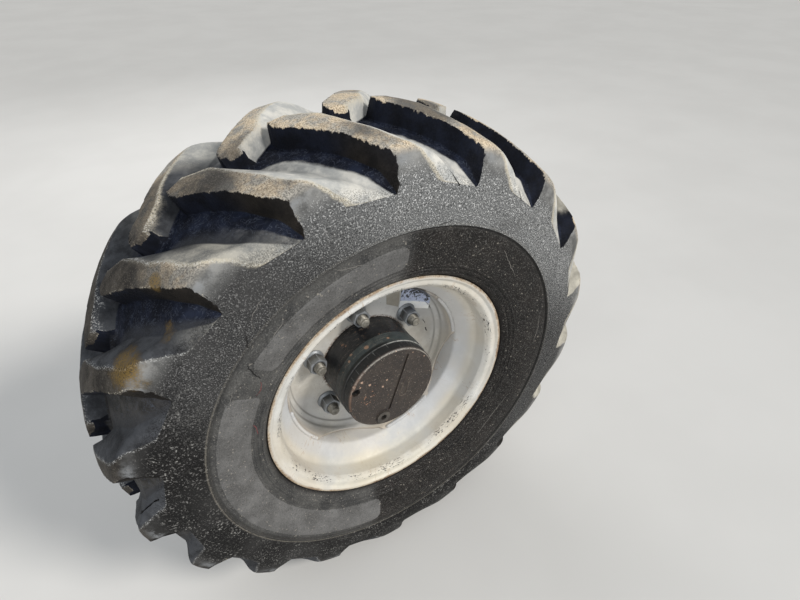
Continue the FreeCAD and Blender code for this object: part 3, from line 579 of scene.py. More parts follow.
    # Groove floor: navy painted shade, greyer away from the light, lighter towards the gentle foot
    # away from the wall's painted shadow, and lit like the flank where painted sunlight falls
    floor = coats(
        mix(patch.span(0.36, 0.7), (14, 17, 27), (32, 38, 54)),
        (shade.towards(60.0).shaken(broad, 60.0).span(50.0, -60.0), far_side_floor),
        (scratch * 0.4, (92, 98, 112)),
        (across.span(0.5, 1.0, 0.0, 0.7), (58, 59, 62)),
        (lit * 0.8, flank),
    )
    colour = coats(
        mix(on_top, wall, raised),
        (speck, (198, 190, 172)),
        (low, floor),
    )
    for place, reach in MUD:
        gap = shade.gap_to(spot(*place)).shaken(patch, 1.8 * reach)
        mud = gap.span(reach, reach * 0.35) * fine.span(0.38, 0.52) * 0.75
        colour = mix(mud, colour, (124, 100, 52))
    rim_line = shade.radius().near(303.5, 2.0) * fine.span(0.36, 0.52)
    rim_line = rim_line * shade.towards(235.0).span(-60.0, 120.0, 0.3, 0.85)
    rough = fine.span(0.3, 0.7, 0.62, 0.92)
    relief = grain * down.span(8.0, 40.0)
    normal = shade.bump(fine, 0.5, 0.7, shade.bump(relief, 1.0, 1.1))
    colour = coats(
        colour,
        (crack.span(0.1, 0.45), (14, 13, 13)),
        (rim_line, (126, 121, 112)),
    )
    return shade.done(colour, rough, normal)


def side_rubber():
    """Smoother sidewall: brown-black or dusty grey, with specks, dashes and paler panels."""
    shade = Shade("tyre_side_rubber", 0.55, specular=0.16)
    panel = shade.stored("panel")
    fine = shade.noise(520.0, 6.0, 0.7)
    patch = shade.noise(24.0, 6.0, 0.65)
    broad = shade.noise(5.0, 3.0, 0.5)
    radius = shade.radius()
    share = shade.stored("pale").shaken(broad, 0.8).span(0.3, 0.7)
    dark = mix(patch.span(0.35, 0.66), (20, 18, 17), (38, 35, 33))
    pale = mix(patch.span(0.35, 0.66), (56, 56, 56), (84, 83, 81))
    grey = mix(patch.span(0.35, 0.66), (86, 85, 84), (110, 109, 108))
    scuff = shade.noise(30.0, 4.0, 0.55, 2.4).near(0.5, 0.006)
    scuff = scuff * patch.span(0.52, 0.6) * 0.45
    dots = shade.noise(230.0, 2.0, 0.5).span(0.67, 0.71) * 0.6
    outer = radius.shaken(patch, 12.0).span(292.0, 300.0)
    bead = radius.span(221.0, 214.0)
    rough = patch.span(0.3, 0.7, 0.42, 0.72)
    normal = shade.bump(dots, 0.6, 0.5, shade.bump(fine, 0.45, 0.5))
    colour = coats(
        mix(share, dark, pale),
        (panel.shaken(patch, 0.3).span(0.35, 0.6), grey),
        (fine.span(0.46, 0.34, 0.0, 0.6), (18, 17, 17)),
        (fine.span(0.53, 0.62, 0.0, 0.5), (122, 120, 117)),
        (scuff, (138, 135, 130)),
        (dots, (158, 152, 142)),
        (outer * 0.45, (62, 61, 59)),
        (bead * 0.8, (26, 24, 24)),
    )
    return shade.done(colour, rough, shade.bump(patch, 0.35, 1.8, normal))


def rim_paint():
    """Off-white rim: rust along the lip, black tar flecks on the band under the bead, painted
    bluish shade in the well and painted warm sunlight towards the bottom.
    """
    shade = Shade("rim_off_white", 0.42)
    fine = shade.noise(300.0, 7.0, 0.72)
    patch = shade.noise(20.0, 6.0, 0.65)
    broad = shade.noise(6.0, 3.0, 0.5)
    radius, out = shade.radius(), shade.out()
    # Painted shade: bluish tint inside the well
    shade_blue_well = radius.span(184.0, 172.0, 0.0, 0.45)
    # Painted sunlight: warm cream towards the bottom of the rim
    sunlit_bottom = shade.towards(262.0).shaken(patch, 130.0).span(140.0, 205.0, 0.0, 0.6)
    edge = radius.shaken(patch, 9.0).span(207.5, 212.0)
    warm = mix(fine.span(0.42, 0.58), (150, 126, 100), (196, 182, 160))
    rust = edge * patch.span(0.5, 0.62) * fine.span(0.46, 0.54)
    runs = shade.noise(1.0, 3.0, 0.5, where=shade.ring_place(12.0, 0.02))
    run = runs.near(0.5, 0.012) * patch.span(0.5, 0.62) * 0.6
    marks = shade.noise(1.0, 3.0, 0.55, 0.6, shade.ring_place(-60.0, 0.5, 0.5))
    band = radius.near(193.5, 8.0) * out.span(70.0, 100.0)
    density = shade.noise(15.0, 4.0, 0.6).span(0.4, 0.6, 0.72, 0.57)
    over = marks - density
    fleck = band.span(0.2, 0.6) * over.span(0.0, 0.015)
    soot = band * over.span(-0.14, 0.02) * 0.3
    grime = radius.near(190.0, 5.0) * patch.span(0.4, 0.6) * 0.4
    spots = fine.span(0.64, 0.67) * patch.span(0.48, 0.6)
    rough = fine.span(0.3, 0.7, 0.34, 0.6)
    colour = coats(
        mix(patch.span(0.35, 0.66), (196, 194, 188), (218, 217, 213)),
        (broad.span(0.45, 0.62, 0.0, 0.5), (206, 192, 166)),
        (shade_blue_well, (186, 190, 198)),
        (sunlit_bottom, (214, 205, 182)),
        (edge * patch.span(0.34, 0.5, 0.3, 1.0), warm),
        (rust, (108, 78, 56)),
        (run, (168, 138, 104)),
        (soot, (96, 94, 96)),
        (fleck, (34, 32, 33)),
        (grime, (132, 120, 104)),
        (spots, (92, 76, 62)),
    )
    return shade.done(colour, rough, shade.bump(fine, 0.3, 0.35, shade.bump(fleck, 0.6, 0.8)))


def disc_paint():
    shade = Shade("disc_beige_grey", 0.5)
    fine = shade.noise(280.0, 7.0, 0.72)
    patch = shade.noise(22.0, 6.0, 0.65)
    broad = shade.noise(7.0, 3.0, 0.5)
    radius = shade.radius()
    # bend: darker lines at the disc's two bends, painted shade in the creases
    bend = radius.near(141.2, 2.0).most(radius.near(149.6, 1.8))
    edge = radius.shaken(patch, 5.0).span(151.5, 155.0) * 0.45
    ring = radius.span(86.0, 81.0) * fine.span(0.4, 0.55)
    spots = fine.span(0.63, 0.66) * patch.span(0.45, 0.6)
    rough = fine.span(0.3, 0.7, 0.4, 0.65)
    colour = coats(
        mix(patch.span(0.35, 0.66), (186, 180, 169), (210, 206, 197)),
        (broad.span(0.42, 0.6, 0.0, 0.4), (180, 183, 188)),
        (bend * patch.span(0.36, 0.56, 0.3, 0.7), (128, 124, 118)),
        (edge, (158, 140, 118)),
        (ring, (98, 78, 62)),
        (spots, (70, 60, 52)),
    )
    return shade.done(colour, rough, shade.bump(fine, 0.3, 0.35))


# Direction that the ring's worn edges and pale tint face: real wear shown with painted light
WEAR_AND_LIGHT_ANGLE = 70.0
CHIPS = [
    # place as radius, angle and distance outwards, then the size of the chip
    ((81.0, 110.0, 80.0), 6.5),
    ((81.0, 129.0, 70.0), 4.5),
    ((81.0, 135.0, 77.0), 4.0),
    ((81.0, 83.0, 83.0), 3.2),
]
NICKS = [
    # radius and angle on the cover, then the size of the nick
    ((50.3, 144.8), 3.6), ((21.8, 146.0), 4.4), ((26.1, 113.8), 3.4), ((68.1, 143.4), 3.6),
    ((77.0, 85.3), 3.0), ((71.5, 58.2), 1.8), ((72.6, 35.3), 2.4), ((77.5, 152.0), 4.0),
    ((40.3, 177.0), 1.8), ((66.0, 152.0), 2.4),
]


def hub_paint():
    """Black hub paint with dust, chips down to brown primer and worn edges on the ring; the ring's
    pale tint and edges are painted light towards one side, with painted shade in the seam on the
    far side.
    """
    shade = Shade("hub_black_paint", 0.35)
    fine = shade.noise(170.0, 8.0, 0.7)
    patch = shade.noise(30.0, 6.0, 0.7)
    radius, out = shade.radius(), shade.out()
    streak = shade.noise(1.0, 7.0, 0.7, where=shade.ring_place(9.0, 0.16))
    dust = streak.span(0.5, 0.68) * fine.span(0.42, 0.6) * 0.6
    front = out.span(DISC_FACE + 12.0, DRUM_END, 0.0, 0.03)
    level = streak + front
    chips = level.span(0.645, 0.66) * fine.span(0.42, 0.5)
    skin = radius.span(RING_R - 4.0, RING_R - 2.0)
    # bright: side facing the light, where the ring shows a pale tint, lines and worn edges as
    # painted light over real wear
    bright = shade.towards(WEAR_AND_LIGHT_ANGLE).shaken(patch, 60.0).span(-30.0, 60.0, 0.2, 1.0)
    pale = bright * skin * out.span(DRUM_END - 1.0, DRUM_END)
    lines = shade.noise(1.0, 4.0, 0.6, where=shade.ring_place(3.5, 1.1))
    line = lines.span(0.6, 0.64) * fine.span(0.44, 0.54) * bright * 0.5
    colour = coats(
        mix(patch.span(0.4, 0.7), (16, 17, 20), (38, 39, 42)),
        (dust, (96, 88, 78)),
        (chips, (146, 106, 84)),
        (pale * fine.span(0.3, 0.6, 0.4, 0.9), (66, 74, 74)),
        (line, (142, 132, 120)),
    )
    for place, reach in CHIPS:
        gap = shade.gap_to(spot(*place)).shaken(patch, 2.4 * reach)
        gap = gap.shaken(fine, 0.8 * reach)
        colour = mix(gap.span(reach * 0.72, reach * 0.55), colour, (146, 118, 98))
    # Far side from the light: painted shade in the seam, and the worn edges shown less
    far_side = shade.towards(WEAR_AND_LIGHT_ANGLE + 90.0).shaken(patch, 30.0).span(5.0, 40.0)
    seam_dark = out.span(RING_END - 8.0, RING_END - 5.5) * skin * far_side
    thin = out.near(DRUM_END + 10.5, 0.5) * skin * far_side
    worn = out.near(RING_END - 0.7, 0.9)
    seam = out.near(DRUM_END + 0.8, 0.8) * 0.4
    wear = worn.most(seam) * skin * fine.span(0.38, 0.52)
    kept = 1.0 - far_side * 0.85
    rough = fine.span(0.3, 0.7, 0.28, 0.6)
    colour = coats(
        colour,
        (seam_dark * 0.85, (9, 9, 10)),
        (thin * fine.span(0.42, 0.52) * 0.6, (138, 124, 108)),
        (wear * bright * kept, (166, 165, 160)),
    )
    return shade.done(colour, rough, shade.bump(chips, -0.6, 0.5, shade.bump(fine, 0.35, 0.4)))


def cover_paint():
    """Brown-black cast cover, speckled with dust and small pale nicks."""
    shade = Shade("cover_brown_black", 0.5)
    fine = shade.noise(420.0, 7.0, 0.75)
    patch = shade.noise(42.0, 6.0, 0.7)
    nicks = shade.noise(150.0, 7.0, 0.72)
    radius, out = shade.radius(), shade.out()
    speck = shade.noise(430.0, 3.0, 0.6).span(0.64, 0.69)
    speck = speck * out.span(COVER_END - 0.8, COVER_END - 0.3)
    rusty = shade.gap_to(spot(48.0, 176.0, COVER_END)).shaken(patch, 70.0).span(26.0, 8.0)
    nick = nicks.shaken(rusty, 0.1).span(0.625, 0.645)
    colour = coats(
        mix(patch.span(0.35, 0.7), (38, 32, 29), (58, 50, 44)),
        (fine.span(0.54, 0.62) * 0.5, (104, 92, 82)),
        (speck * 0.6, (186, 174, 158)),
        (nick, (176, 132, 104)),
    )
    for place, reach in NICKS:
        gap = shade.gap_to(spot(*place, COVER_END)).shaken(nicks, 3.4 * reach)
        colour = mix(gap.span(reach * 0.6, reach * 0.4), colour, (176, 147, 126))
    low_edge = out.near(COVER_END - 1.0, 2.2) * radius.span(74.5, 76.4)
    low_edge = low_edge * shade.towards(168.0).span(52.0, 70.0)
    low_edge = low_edge * patch.span(0.36, 0.5)
    # bright: side facing the light, where the cover's worn edge and cuts show paler, painted
    # highlight over real wear
    bright = shade.towards(WEAR_AND_LIGHT_ANGLE).shaken(patch, 60.0).span(-30.0, 50.0, 0.12, 1.0)
    edge = out.near(COVER_END - 1.2, 1.5)
    edge = edge * radius.span(75.2, 76.4) * fine.span(0.4, 0.54) * bright
    side = out.span(COVER_END - 3.5, COVER_END - 6.0) * 0.8
    cuts = shade.noise(1.0, 3.0, 0.5, where=shade.ring_place(36.0, 0.04))
    cut = cuts.span(0.6, 0.64) * side * bright * 0.8
    colour = coats(
        colour,
        (low_edge * 0.8, (112, 80, 60)),
        (edge * 0.85, (160, 155, 146)),
        (side, (26, 30, 32)),
        (cut, (118, 120, 118)),
    )
    return shade.done(colour, fine.span(0.3, 0.7, 0.4, 0.7), shade.bump(fine, 0.5, 0.45))


def zinc(name, dark, light):
    """Zinc plate; a stored share turns to the paler grey of the nuts' collars and corners, worn
    zinc that also stands for painted highlight on the corners.
    """
    shade = Shade(name, 0.4, 0.4)
    fine = shade.noise(600.0, 6.0, 0.7)
    patch = shade.noise(70.0, 5.0, 0.65)
    bare = shade.stored("bare") * fine.span(0.3, 0.5, 0.4, 0.9)
    colour = coats(
        mix(patch.span(0.38, 0.66), dark, light),
        (fine.span(0.56, 0.68, 0.0, 0.6), (118, 98, 76)),
        (bare, (158, 162, 166)),
    )
    return shade.done(colour, fine.span(0.3, 0.7, 0.32, 0.6), shade.bump(fine, 0.3, 0.3))


def cast_paint(name, dark, light, rough):
    shade = Shade(name, rough)
    fine = shade.noise(220.0, 8.0, 0.7)
    patch = shade.noise(13.0, 6.0, 0.65)
    rusty = shade.noise(40.0, 7.0, 0.72)
    dirt = patch.span(0.48, 0.66) * fine.span(0.42, 0.58) * 0.7
    rust = rusty.span(0.6, 0.64) * fine.span(0.45, 0.52)
    spread = fine.span(0.3, 0.7, rough - 0.1, rough + 0.2)
    colour = coats(
        mix(patch.span(0.35, 0.7), dark, light),
        (dirt, (112, 94, 74)),
        (rust, (118, 70, 44)),
    )
    return shade.done(colour, spread, shade.bump(fine, 0.45, 0.9, shade.bump(rust, -0.5, 0.6)))


def plain_finish(name, colour, other, rough, metallic=0.0):
    shade = Shade(name, rough, metallic)
    fine = shade.noise(500.0, 6.0, 0.7)
    patch = shade.noise(60.0, 5.0, 0.6)
    spread = fine.span(0.3, 0.7, rough - 0.08, rough + 0.15)
    tone = coats(
        mix(patch.span(0.35, 0.7), colour, other),
        (fine.span(0.6, 0.7, 0.0, 0.5), (112, 100, 86)),
    )
    return shade.done(tone, spread, shade.bump(fine, 0.25, 0.25))


def label_paper():
    """Blank white label, smeared with black tar over its upper part, with painted bluish shade on
    its upper part.
    """
    shade = Shade("blank_label", 0.5)
    fine = shade.noise(170.0, 7.0, 0.7)
    patch = shade.noise(60.0, 5.0, 0.6)
    high = shade.stored("up")
    threshold = (high * 1.25).shaken(fine, 3.0)
    tar = threshold.span(0.44, 0.48) * high.span(0.12, 0.2)
    colour = coats(
        mix(patch.span(0.35, 0.66), (232, 234, 236), (246, 245, 240)),
        # Bluish upper part of the label: painted shade
        (high.span(0.14, 0.17) * 0.6, (132, 150, 196)),
        (tar, (22, 22, 28)),
    )
    return shade.done(colour, tar.span(0.0, 1.0, 0.55, 0.3), shade.bump(tar, 0.5, 0.6))


# Tyre
CROWN_DROP = 20.0
TREAD_HALF = 124.0
LUG_HEIGHT = 30.0
PITCH = 360.0 / LUG_COUNT
TREAD_KEYS = [
    # along the surface from the centre plane, and a lug's four corner angles, measured back
    # from where its steep edge would cross the centre: gentle foot, gentle edge, steep edge
    # and steep foot
    (-24.0, 6.0, 4.7, 1.3, 0.3),
    (-13.0, 6.2, 4.8, 1.3, 0.3),
    (0.0, 8.2, 6.8, 1.2, 0.4),
    (13.0, 10.4, 9.1, 1.8, 0.9),
    (32.0, 14.4, 10.4, 4.1, 3.3),
    (54.0, 18.4, 11.8, 6.6, 5.8),
    (84.0, 22.3, 14.7, 9.8, 9.0),
    (105.0, 24.8, 16.6, 11.7, 10.8),
    (118.0, 26.8, 18.3, 13.1, 12.0),
    (125.0, 28.3, 19.7, 14.3, 12.6),
    (131.0, 29.3, 20.6, 15.0, 12.9),
    (149.0, 31.0, 22.6, 15.0, 13.4),
    (164.0, 32.2, 24.2, 14.8, 13.9),
    (178.5, 33.4, 25.6, 14.4, 14.1),
    (230.0, 33.4, 25.6, 14.4, 14.1),
]
SHOULDER_KEYS = [
    # along the surface, lug top (outwards, radius), groove floor (outwards, radius)
    (118.0, 118.0, 407.4, 117.5, 377.5),
    (125.0, 124.3, 402.6, 123.0, 371.5),
    (131.0, 127.2, 396.8, 127.0, 367.0),
    (149.0, 133.0, 380.0, 133.5, 361.0),
    (164.0, 137.3, 366.0, 137.5, 356.5),
    (178.5, 141.0, 352.0, 141.0, 352.0),
    (190.0, 143.8, 341.0, 143.8, 341.0),
    (203.0, 145.8, 328.0, 145.8, 328.0),
    (218.0, 146.7, 313.0, 146.7, 313.0),
    (230.0, 146.7, 301.5, 146.7, 301.5),
]
FLAT_END = 112.0
SHOULDER_START = 124.0
FLANK, TOP, WALL, GROOVE = range(4)
COLUMNS = (8, 9, 4, 2)
GUEST_SHARES = np.array([0.2, 0.4, 0.6, 0.8])
NOSE_TOP = -12.5
NOSE_FOOT = -18.0
FAR = 60.0
# Lug, share of the flank from its foot to its edge, start and end along the surface
CRACKS = [(5, 0.56, 62.0, 176.0), (4, 0.48, 92.0, 174.0), (10, 0.5, 110.0, 160.0)]
CRACK_HALF = 3.0
CRACK_DEPTH = 6.0


def crown_radius(out):
    return CROWN - CROWN_DROP * (np.asarray(out) / TREAD_HALF) ** 2


def surface_rows(along):
    """Lug tops and groove floor (outwards, radius) at distances along the surface."""
    keys = [FLAT_END] + [row[0] for row in SHOULDER_KEYS]
    flat = along < FLAT_END
    found = []
    for column, drop in ((1, None), (2, 0.0), (3, None), (4, LUG_HEIGHT)):
        start = FLAT_END if drop is None else float(crown_radius(FLAT_END)) - drop
        middle = along if drop is None else crown_radius(along) - drop
        curve = smooth_table(along, keys, [start] + [row[column] for row in SHOULDER_KEYS])
        found.append(np.where(flat, middle, curve)[:, None])
    return found


def lug_angles(along):
    """Four corner angles of a lug at distances along the surface from the centre plane."""
    keys = [row[0] for row in TREAD_KEYS]
    return -np.stack([smooth_table(along, keys, [row[k] for row in TREAD_KEYS])
                      for k in range(1, 5)], axis=-1)


def rise_of(stage, t):
    """Height of a lug's skin over the groove at a share of one of its four stages."""
    if stage == FLANK:
        return 0.5 * t + 0.47 * float(ease(t))
    if stage == TOP:
        return 1.0 - 0.03 * (1 - t) ** 4 - 0.012 * t**6
    if stage == WALL:
        return 0.985 - 0.57 * float(ease(t)) - 0.415 * t
    return 0.0


def half_tread(side):
    """One half of the tread on its own column grid, from the centre plane to the ring line."""
    step = 2.5 if side > 0 else 3.2
    along = np.unique(np.concatenate([
        np.arange(0.0, 22.0, 2.5), [NOSE_TOP * -1, NOSE_FOOT * -1],
        np.arange(22.5, 132.0, step), np.arange(133.0, 181.0, step + 0.5),
        np.arange(182.0, 229.0, 5.0), [230.0],
    ]))
    rows = len(along)
    own = lug_angles(along)
    other = lug_angles(-along) + PITCH / 2
    gap = own[:, 0:1] + PITCH - own[:, 3:4]
    share = ease((along[:, None] - 17.0) / 22.0)
    other = other * (1 - share) + (own[:, 3:4] + gap * GUEST_SHARES) * share
    keys = np.concatenate([own, other, own[:, 0:1] + PITCH], axis=1)
    out_top, radius_top, out_floor, radius_floor = surface_rows(along)
    size = radius_top[:, 0] * math.radians(1.0)
    angles, heights, tags = [], [], {"from_gentle": [], "from_steep": [], "groove": [], "open": []}
    for index in range(len(keys[0]) - 1):
        family, stage = divmod(index, 4)
        reach = -along if family else along
        edges = keys[:, 4 * family:4 * family + 4]
        for number in range(COLUMNS[stage]):
            t = number / COLUMNS[stage]
            angle = keys[:, index] * (1 - t) + keys[:, index + 1] * t
            nose = ease((reach - NOSE_FOOT - 1.5 * t) / (NOSE_TOP - NOSE_FOOT))
            height = nose * rise_of(stage, t)
            angles.append(angle)
            heights.append(height)
            from_gentle = (angle - edges[:, 1]) * size
            down = (0.985 - height) * LUG_HEIGHT
            on_wall = (stage == WALL) & (t > 0)
            from_steep = (edges[:, 2] - angle) * size if stage <= TOP else 0.0 * size
            from_steep = -down if on_wall else from_steep
            ends = np.where((nose < 0.9) & (reach < 0), -down, from_steep)
            absent = (nose <= 0) | (stage == GROOVE)
            tags["from_gentle"].append(np.where(absent, FAR, np.maximum(from_gentle, -FAR)))
            tags["from_steep"].append(np.where(absent, -FAR / 4, ends))
            foot = np.clip(1 - height * 5.0, 0, 1)
            tags["groove"].append(np.where(absent, 1.0, foot))
            # open: share across the groove from the steep foot, which the tread material uses for
            # painted shadow by the wall and painted sunlight further out
            across = (angle - own[:, 3]) / gap[:, 0]
            beside = 0.0 if stage == WALL else 1.0
            opened = np.where(across >= 0, across, beside)
            tags["open"].append(opened * ease((along - 15.0) / 25.0))
    angles, heights = np.stack(angles, axis=1), np.stack(heights, axis=1)
    tags = {key: np.stack(value, axis=1) for key, value in tags.items()}
    tags["down"] = np.repeat((along - SHOULDER_START)[:, None], len(angles[0]), axis=1)
    beyond = ease((along - 170.0) / 9.0)[:, None]
    tags["groove"] = tags["groove"] * (1 - beyond)
    tags["from_steep"] = tags["from_steep"] * (1 - beyond) + 8.0 * beyond
    tags["from_gentle"] = tags["from_gentle"] * (1 - beyond) + FAR * beyond
    count = len(angles[0])
    even = own[:, 0:1] + np.arange(count)[None, :] * PITCH / count
    evened = ease((along - 182.0) / 44.0)[:, None]
    angles = angles * (1 - evened) + even * evened
    phase = LUG_PHASE + (0.0 if side > 0 else PITCH / 2)
    turns = np.arange(LUG_COUNT) * PITCH + phase
    angles = (angles[:, None, :] + turns[None, :, None]).reshape(rows, -1)
    heights = np.tile(heights, (1, LUG_COUNT))
    tags = {key: np.tile(value, (1, LUG_COUNT)) for key, value in tags.items()}
    tags["crack"] = np.zeros_like(heights)
    if side > 0:
        open_cracks(along, angles, heights, tags["crack"], count)
    lug_edges = fray_edges(side, along, angles, heights, count)
    radius = radius_floor + heights * (radius_top - radius_floor)
    out = out_floor + heights * (out_top - out_floor)
    points = spot(radius, angles, side * out)
    wear = wobble(points, 20.0, 1) * 1.0 + wobble(points, 95.0, 2) * 0.5
    radius = radius + np.minimum(wear, 0.3) * ease((radius - 325.0) / 20.0) - lug_edges
    points = spot(radius, angles, side * np.minimum(out, 146.7))
    return points, tags


def open_cracks(along, angles, heights, marks, count):
    """Opens cracks in some flanks: three columns close up and the middle one drops."""
    for lug, share, start, end in CRACKS:
        middle = lug * count + round(share * COLUMNS[FLANK])
        rows = np.flatnonzero((along > start) & (along < end))
        for row in rows:
            t = (along[row] - start) / (end - start)
            force = math.sin(math.pi * t) ** 0.5
            place = Vector((t * 6.0, lug * 3.1, 0.0))
            centre = angles[row, middle] + 0.35 * noise.noise(place)
            gap = CRACK_HALF * (0.5 + 0.5 * force) / 7.0
            angles[row, middle] = centre
            for offset in (-1, 1):
                angles[row, middle + offset] = centre + offset * gap
                level = (heights[row, middle] + heights[row, middle + offset]) / 2
                heights[row, middle + offset] = level
            heights[row, middle] -= CRACK_DEPTH * force / LUG_HEIGHT
            marks[row, middle] = 1.0


def fray_edges(side, along, angles, heights, count):
    """Chips the steep edges: returns how far each point drops, and moves the edge columns."""
    drop = np.zeros_like(heights)
    edge = COLUMNS[FLANK] + COLUMNS[TOP]
    for lug in range(LUG_COUNT):
        for family in (0, 1):
            column = lug * count + edge + family * sum(COLUMNS)
            for row, place in enumerate(along):
                if heights[row, column] < 0.9 or place > 168.0:
                    continue
                here = Vector((place * 0.12, lug * 5.3 + side, family * 9.7))
                small = noise.noise(here * 3.1)
                bite = max(0.0, noise.noise(here * 0.9) - 0.28) * 9.0
                angles[row, column] -= 0.22 * small + 0.12 * bite
                angles[row, column - 1] -= 0.07 * bite
                drop[row, column] = 0.7 * abs(small) + 0.8 * bite
                drop[row, column - 1] = 0.35 * bite
    return drop


def make_tread():
    """The lugged tread as two halves that meet at the centre plane."""
    for name, side in (("tread_outer", 1), ("tread_inner", -1)):
        points, tags = half_tread(side)
        faces = grid_faces(*points.shape[:2])
        if side < 0:
            faces = [tuple(reversed(face)) for face in faces]
        piece = build(name, points, faces, TREAD, "wheel", ("tyre",), crease=42.0)
        for key, values in tags.items():
            paint(piece, key, values)


SIDE_SECTION = np.array([
    # radius, outwards: ring line, smooth wall, two fine ribs above the rim, bead
    (301.5, 146.7), (300.6, 145.6), (299.9, 143.4), (298.8, 143.2), (296.5, 144.9), (285.0, 145.4),
    (270.0, 144.3), (255.0, 141.3), (243.0, 137.8), (237.5, 136.2), (236.5, 137.0), (234.9, 136.9),
    (233.6, 135.0), (231.0, 134.0), (229.9, 134.9), (228.2, 134.7), (227.2, 132.8), (224.5, 131.3),
    (223.5, 132.1), (221.8, 131.7), (220.8, 129.6), (218.0, 127.2), (215.6, 124.6), (214.5, 121.8),
    (212.0, 117.4), (206.0, 114.6), (196.5, 113.8),
])
PANELS = [
    # inner and outer radius, first and last angle
    (240.0, 291.0, 150.0, 260.0),
    (240.0, 283.0, 88.0, 141.0),
]
PANEL_RISE = 0.9
PANEL_CORNER = 13.0
PALE_MIDDLE = 172.0
PALE_HALF = 84.0
SIDE_STEP = 2.2
SIDE_SEGMENTS = 480


def side_out(radius):
    """Outwards distance of the sidewall's skin at a radius."""
    order = SIDE_SECTION[::-1]
    tread = np.array([(row[4], row[3]) for row in SHOULDER_KEYS[:4:-1]])
    both = np.concatenate([order, tread[1:]])
    return np.interp(radius, both[:, 0], both[:, 1])


def make_side(name, side):
    """Smooth part of a sidewall from the ring line down to the bead, with a moulded panel."""
    along = lengths_of(SIDE_SECTION)
    fine = np.unique(np.concatenate([along, np.arange(0, along[-1], SIDE_STEP)]))
    radius = np.interp(fine, along, SIDE_SECTION[:, 0])[:, None]
    out = np.interp(fine, along, SIDE_SECTION[:, 1])[:, None]
    angles = np.arange(SIDE_SEGMENTS)[None, :] * 360.0 / SIDE_SEGMENTS
    panel = 0.0
    for low, high, start, end in PANELS:
        across = np.abs(radius - (low + high) / 2) - (high - low) / 2 + PANEL_CORNER
        reach = np.abs((angles - (start + end) / 2 + 180.0) % 360.0 - 180.0) - (end - start) / 2
        around = np.radians(reach) * radius + PANEL_CORNER
        beyond = np.hypot(np.maximum(across, 0), np.maximum(around, 0)) - PANEL_CORNER
        panel = np.maximum(panel, ease(-beyond / 3.0))
    points = spot(radius, angles, out * side)
    dents = np.abs(wobble(points, 12.0, 3)) * 0.7 + np.abs(wobble(points, 60.0, 5)) * 0.3
    points = spot(radius, angles, side * (out + panel * PANEL_RISE - dents * (radius > 216)))
    faces = grid_faces(len(fine), SIDE_SEGMENTS)
    if side < 0:
        faces = [tuple(reversed(face)) for face in faces]
    piece = build(name, points, faces, SIDE, "wheel", ("tyre",), crease=50.0)
    paint(piece, "panel", panel)
    turned = np.abs((angles - PALE_MIDDLE + 180.0) % 360.0 - 180.0)
    paint(piece, "pale", np.broadcast_to(ease((PALE_HALF - turned) / 24.0 + 0.5), panel.shape))


def make_side_marks():
    """Cuts, scuffs and chalk strokes on the outer sidewall."""
    cuts = [
        ([(322, 131.6), (312, 133.5), (301, 135.8)], 2.4),
        ([(288, 140.0), (272, 142.0), (258, 143.4)], 1.8),
        ([(309, 76.0), (303, 80.5)], 1.4),
        ([(262.5, 118.0), (257.0, 120.5), (254.5, 119.0)], 2.6),
        ([(247, 24.0), (238, 25.5), (232, 24.0)], 2.2),
        ([(282, 340.0), (276, 343.5), (272, 341.0)], 1.8),
        ([(262, 305.0), (255, 307.0)], 1.6),
        ([(340, 122.0), (331, 124.5)], 1.6),
    ]
    scuffs = [
        [(300, 109.5), (291, 108.0), (281, 102.0), (272, 96.8), (259, 91.5), (246, 87.2)],
        [(334, 121.5), (329, 126.0), (322, 129.5), (310, 131.5)],
        [(286, 126.0), (281, 131.0), (268, 135.0)],
        [(289, 148.0), (281, 160.0), (277, 172.0)],
        [(251, 191.0), (262, 203.0), (266, 214.0)],
        [(283, 205.0), (273, 216.0), (268, 231.0)],
        [(282, 52.0), (271, 46.0), (263, 38.0)],
        [(284, 12.0), (281, 5.0), (276, 359.0)],
        [(262, 332.0), (257, 322.0), (259, 313.0)],
        [(312, 244.0), (318, 253.0), (317, 262.0)],
    ]
    chalk = [
        [(256, 144.6), (252, 145.6), (249, 147.8), (252, 149.6)],
        [(251, 153.5), (246, 155.0), (242, 157.2)],
        [(242, 161.5), (236, 163.5), (231, 167.0)],
        [(262, 168.0), (257, 171.0), (255, 175.0)],
    ]
    groups = (
        ("tyre_cuts", [sliver(knots, width, 0.15, 1.2, side_out) for knots, width in cuts], CUT),
        ("tyre_scuffs", [sliver(knots, 0.9, 0.2, 0.6, side_out) for knots in scuffs], SCUFF),
        ("chalk_strokes", [sliver(knots, 1.3, 0.2, 0.6, side_out) for knots in chalk], CHALK),
    )
    for name, strips, material in groups:
        points, faces = join(strips)
        build(name, points, faces, material, "wheel")


# Rim and disc
SEAT_R = FLANGE_R - 19.7
WELL_R = FLANGE_R - 48.5
RIM_WALL = 6.0
WELL_HALF = 64.0
LIP_CURL = 9.7
SEAT_WIDTH = 24.0


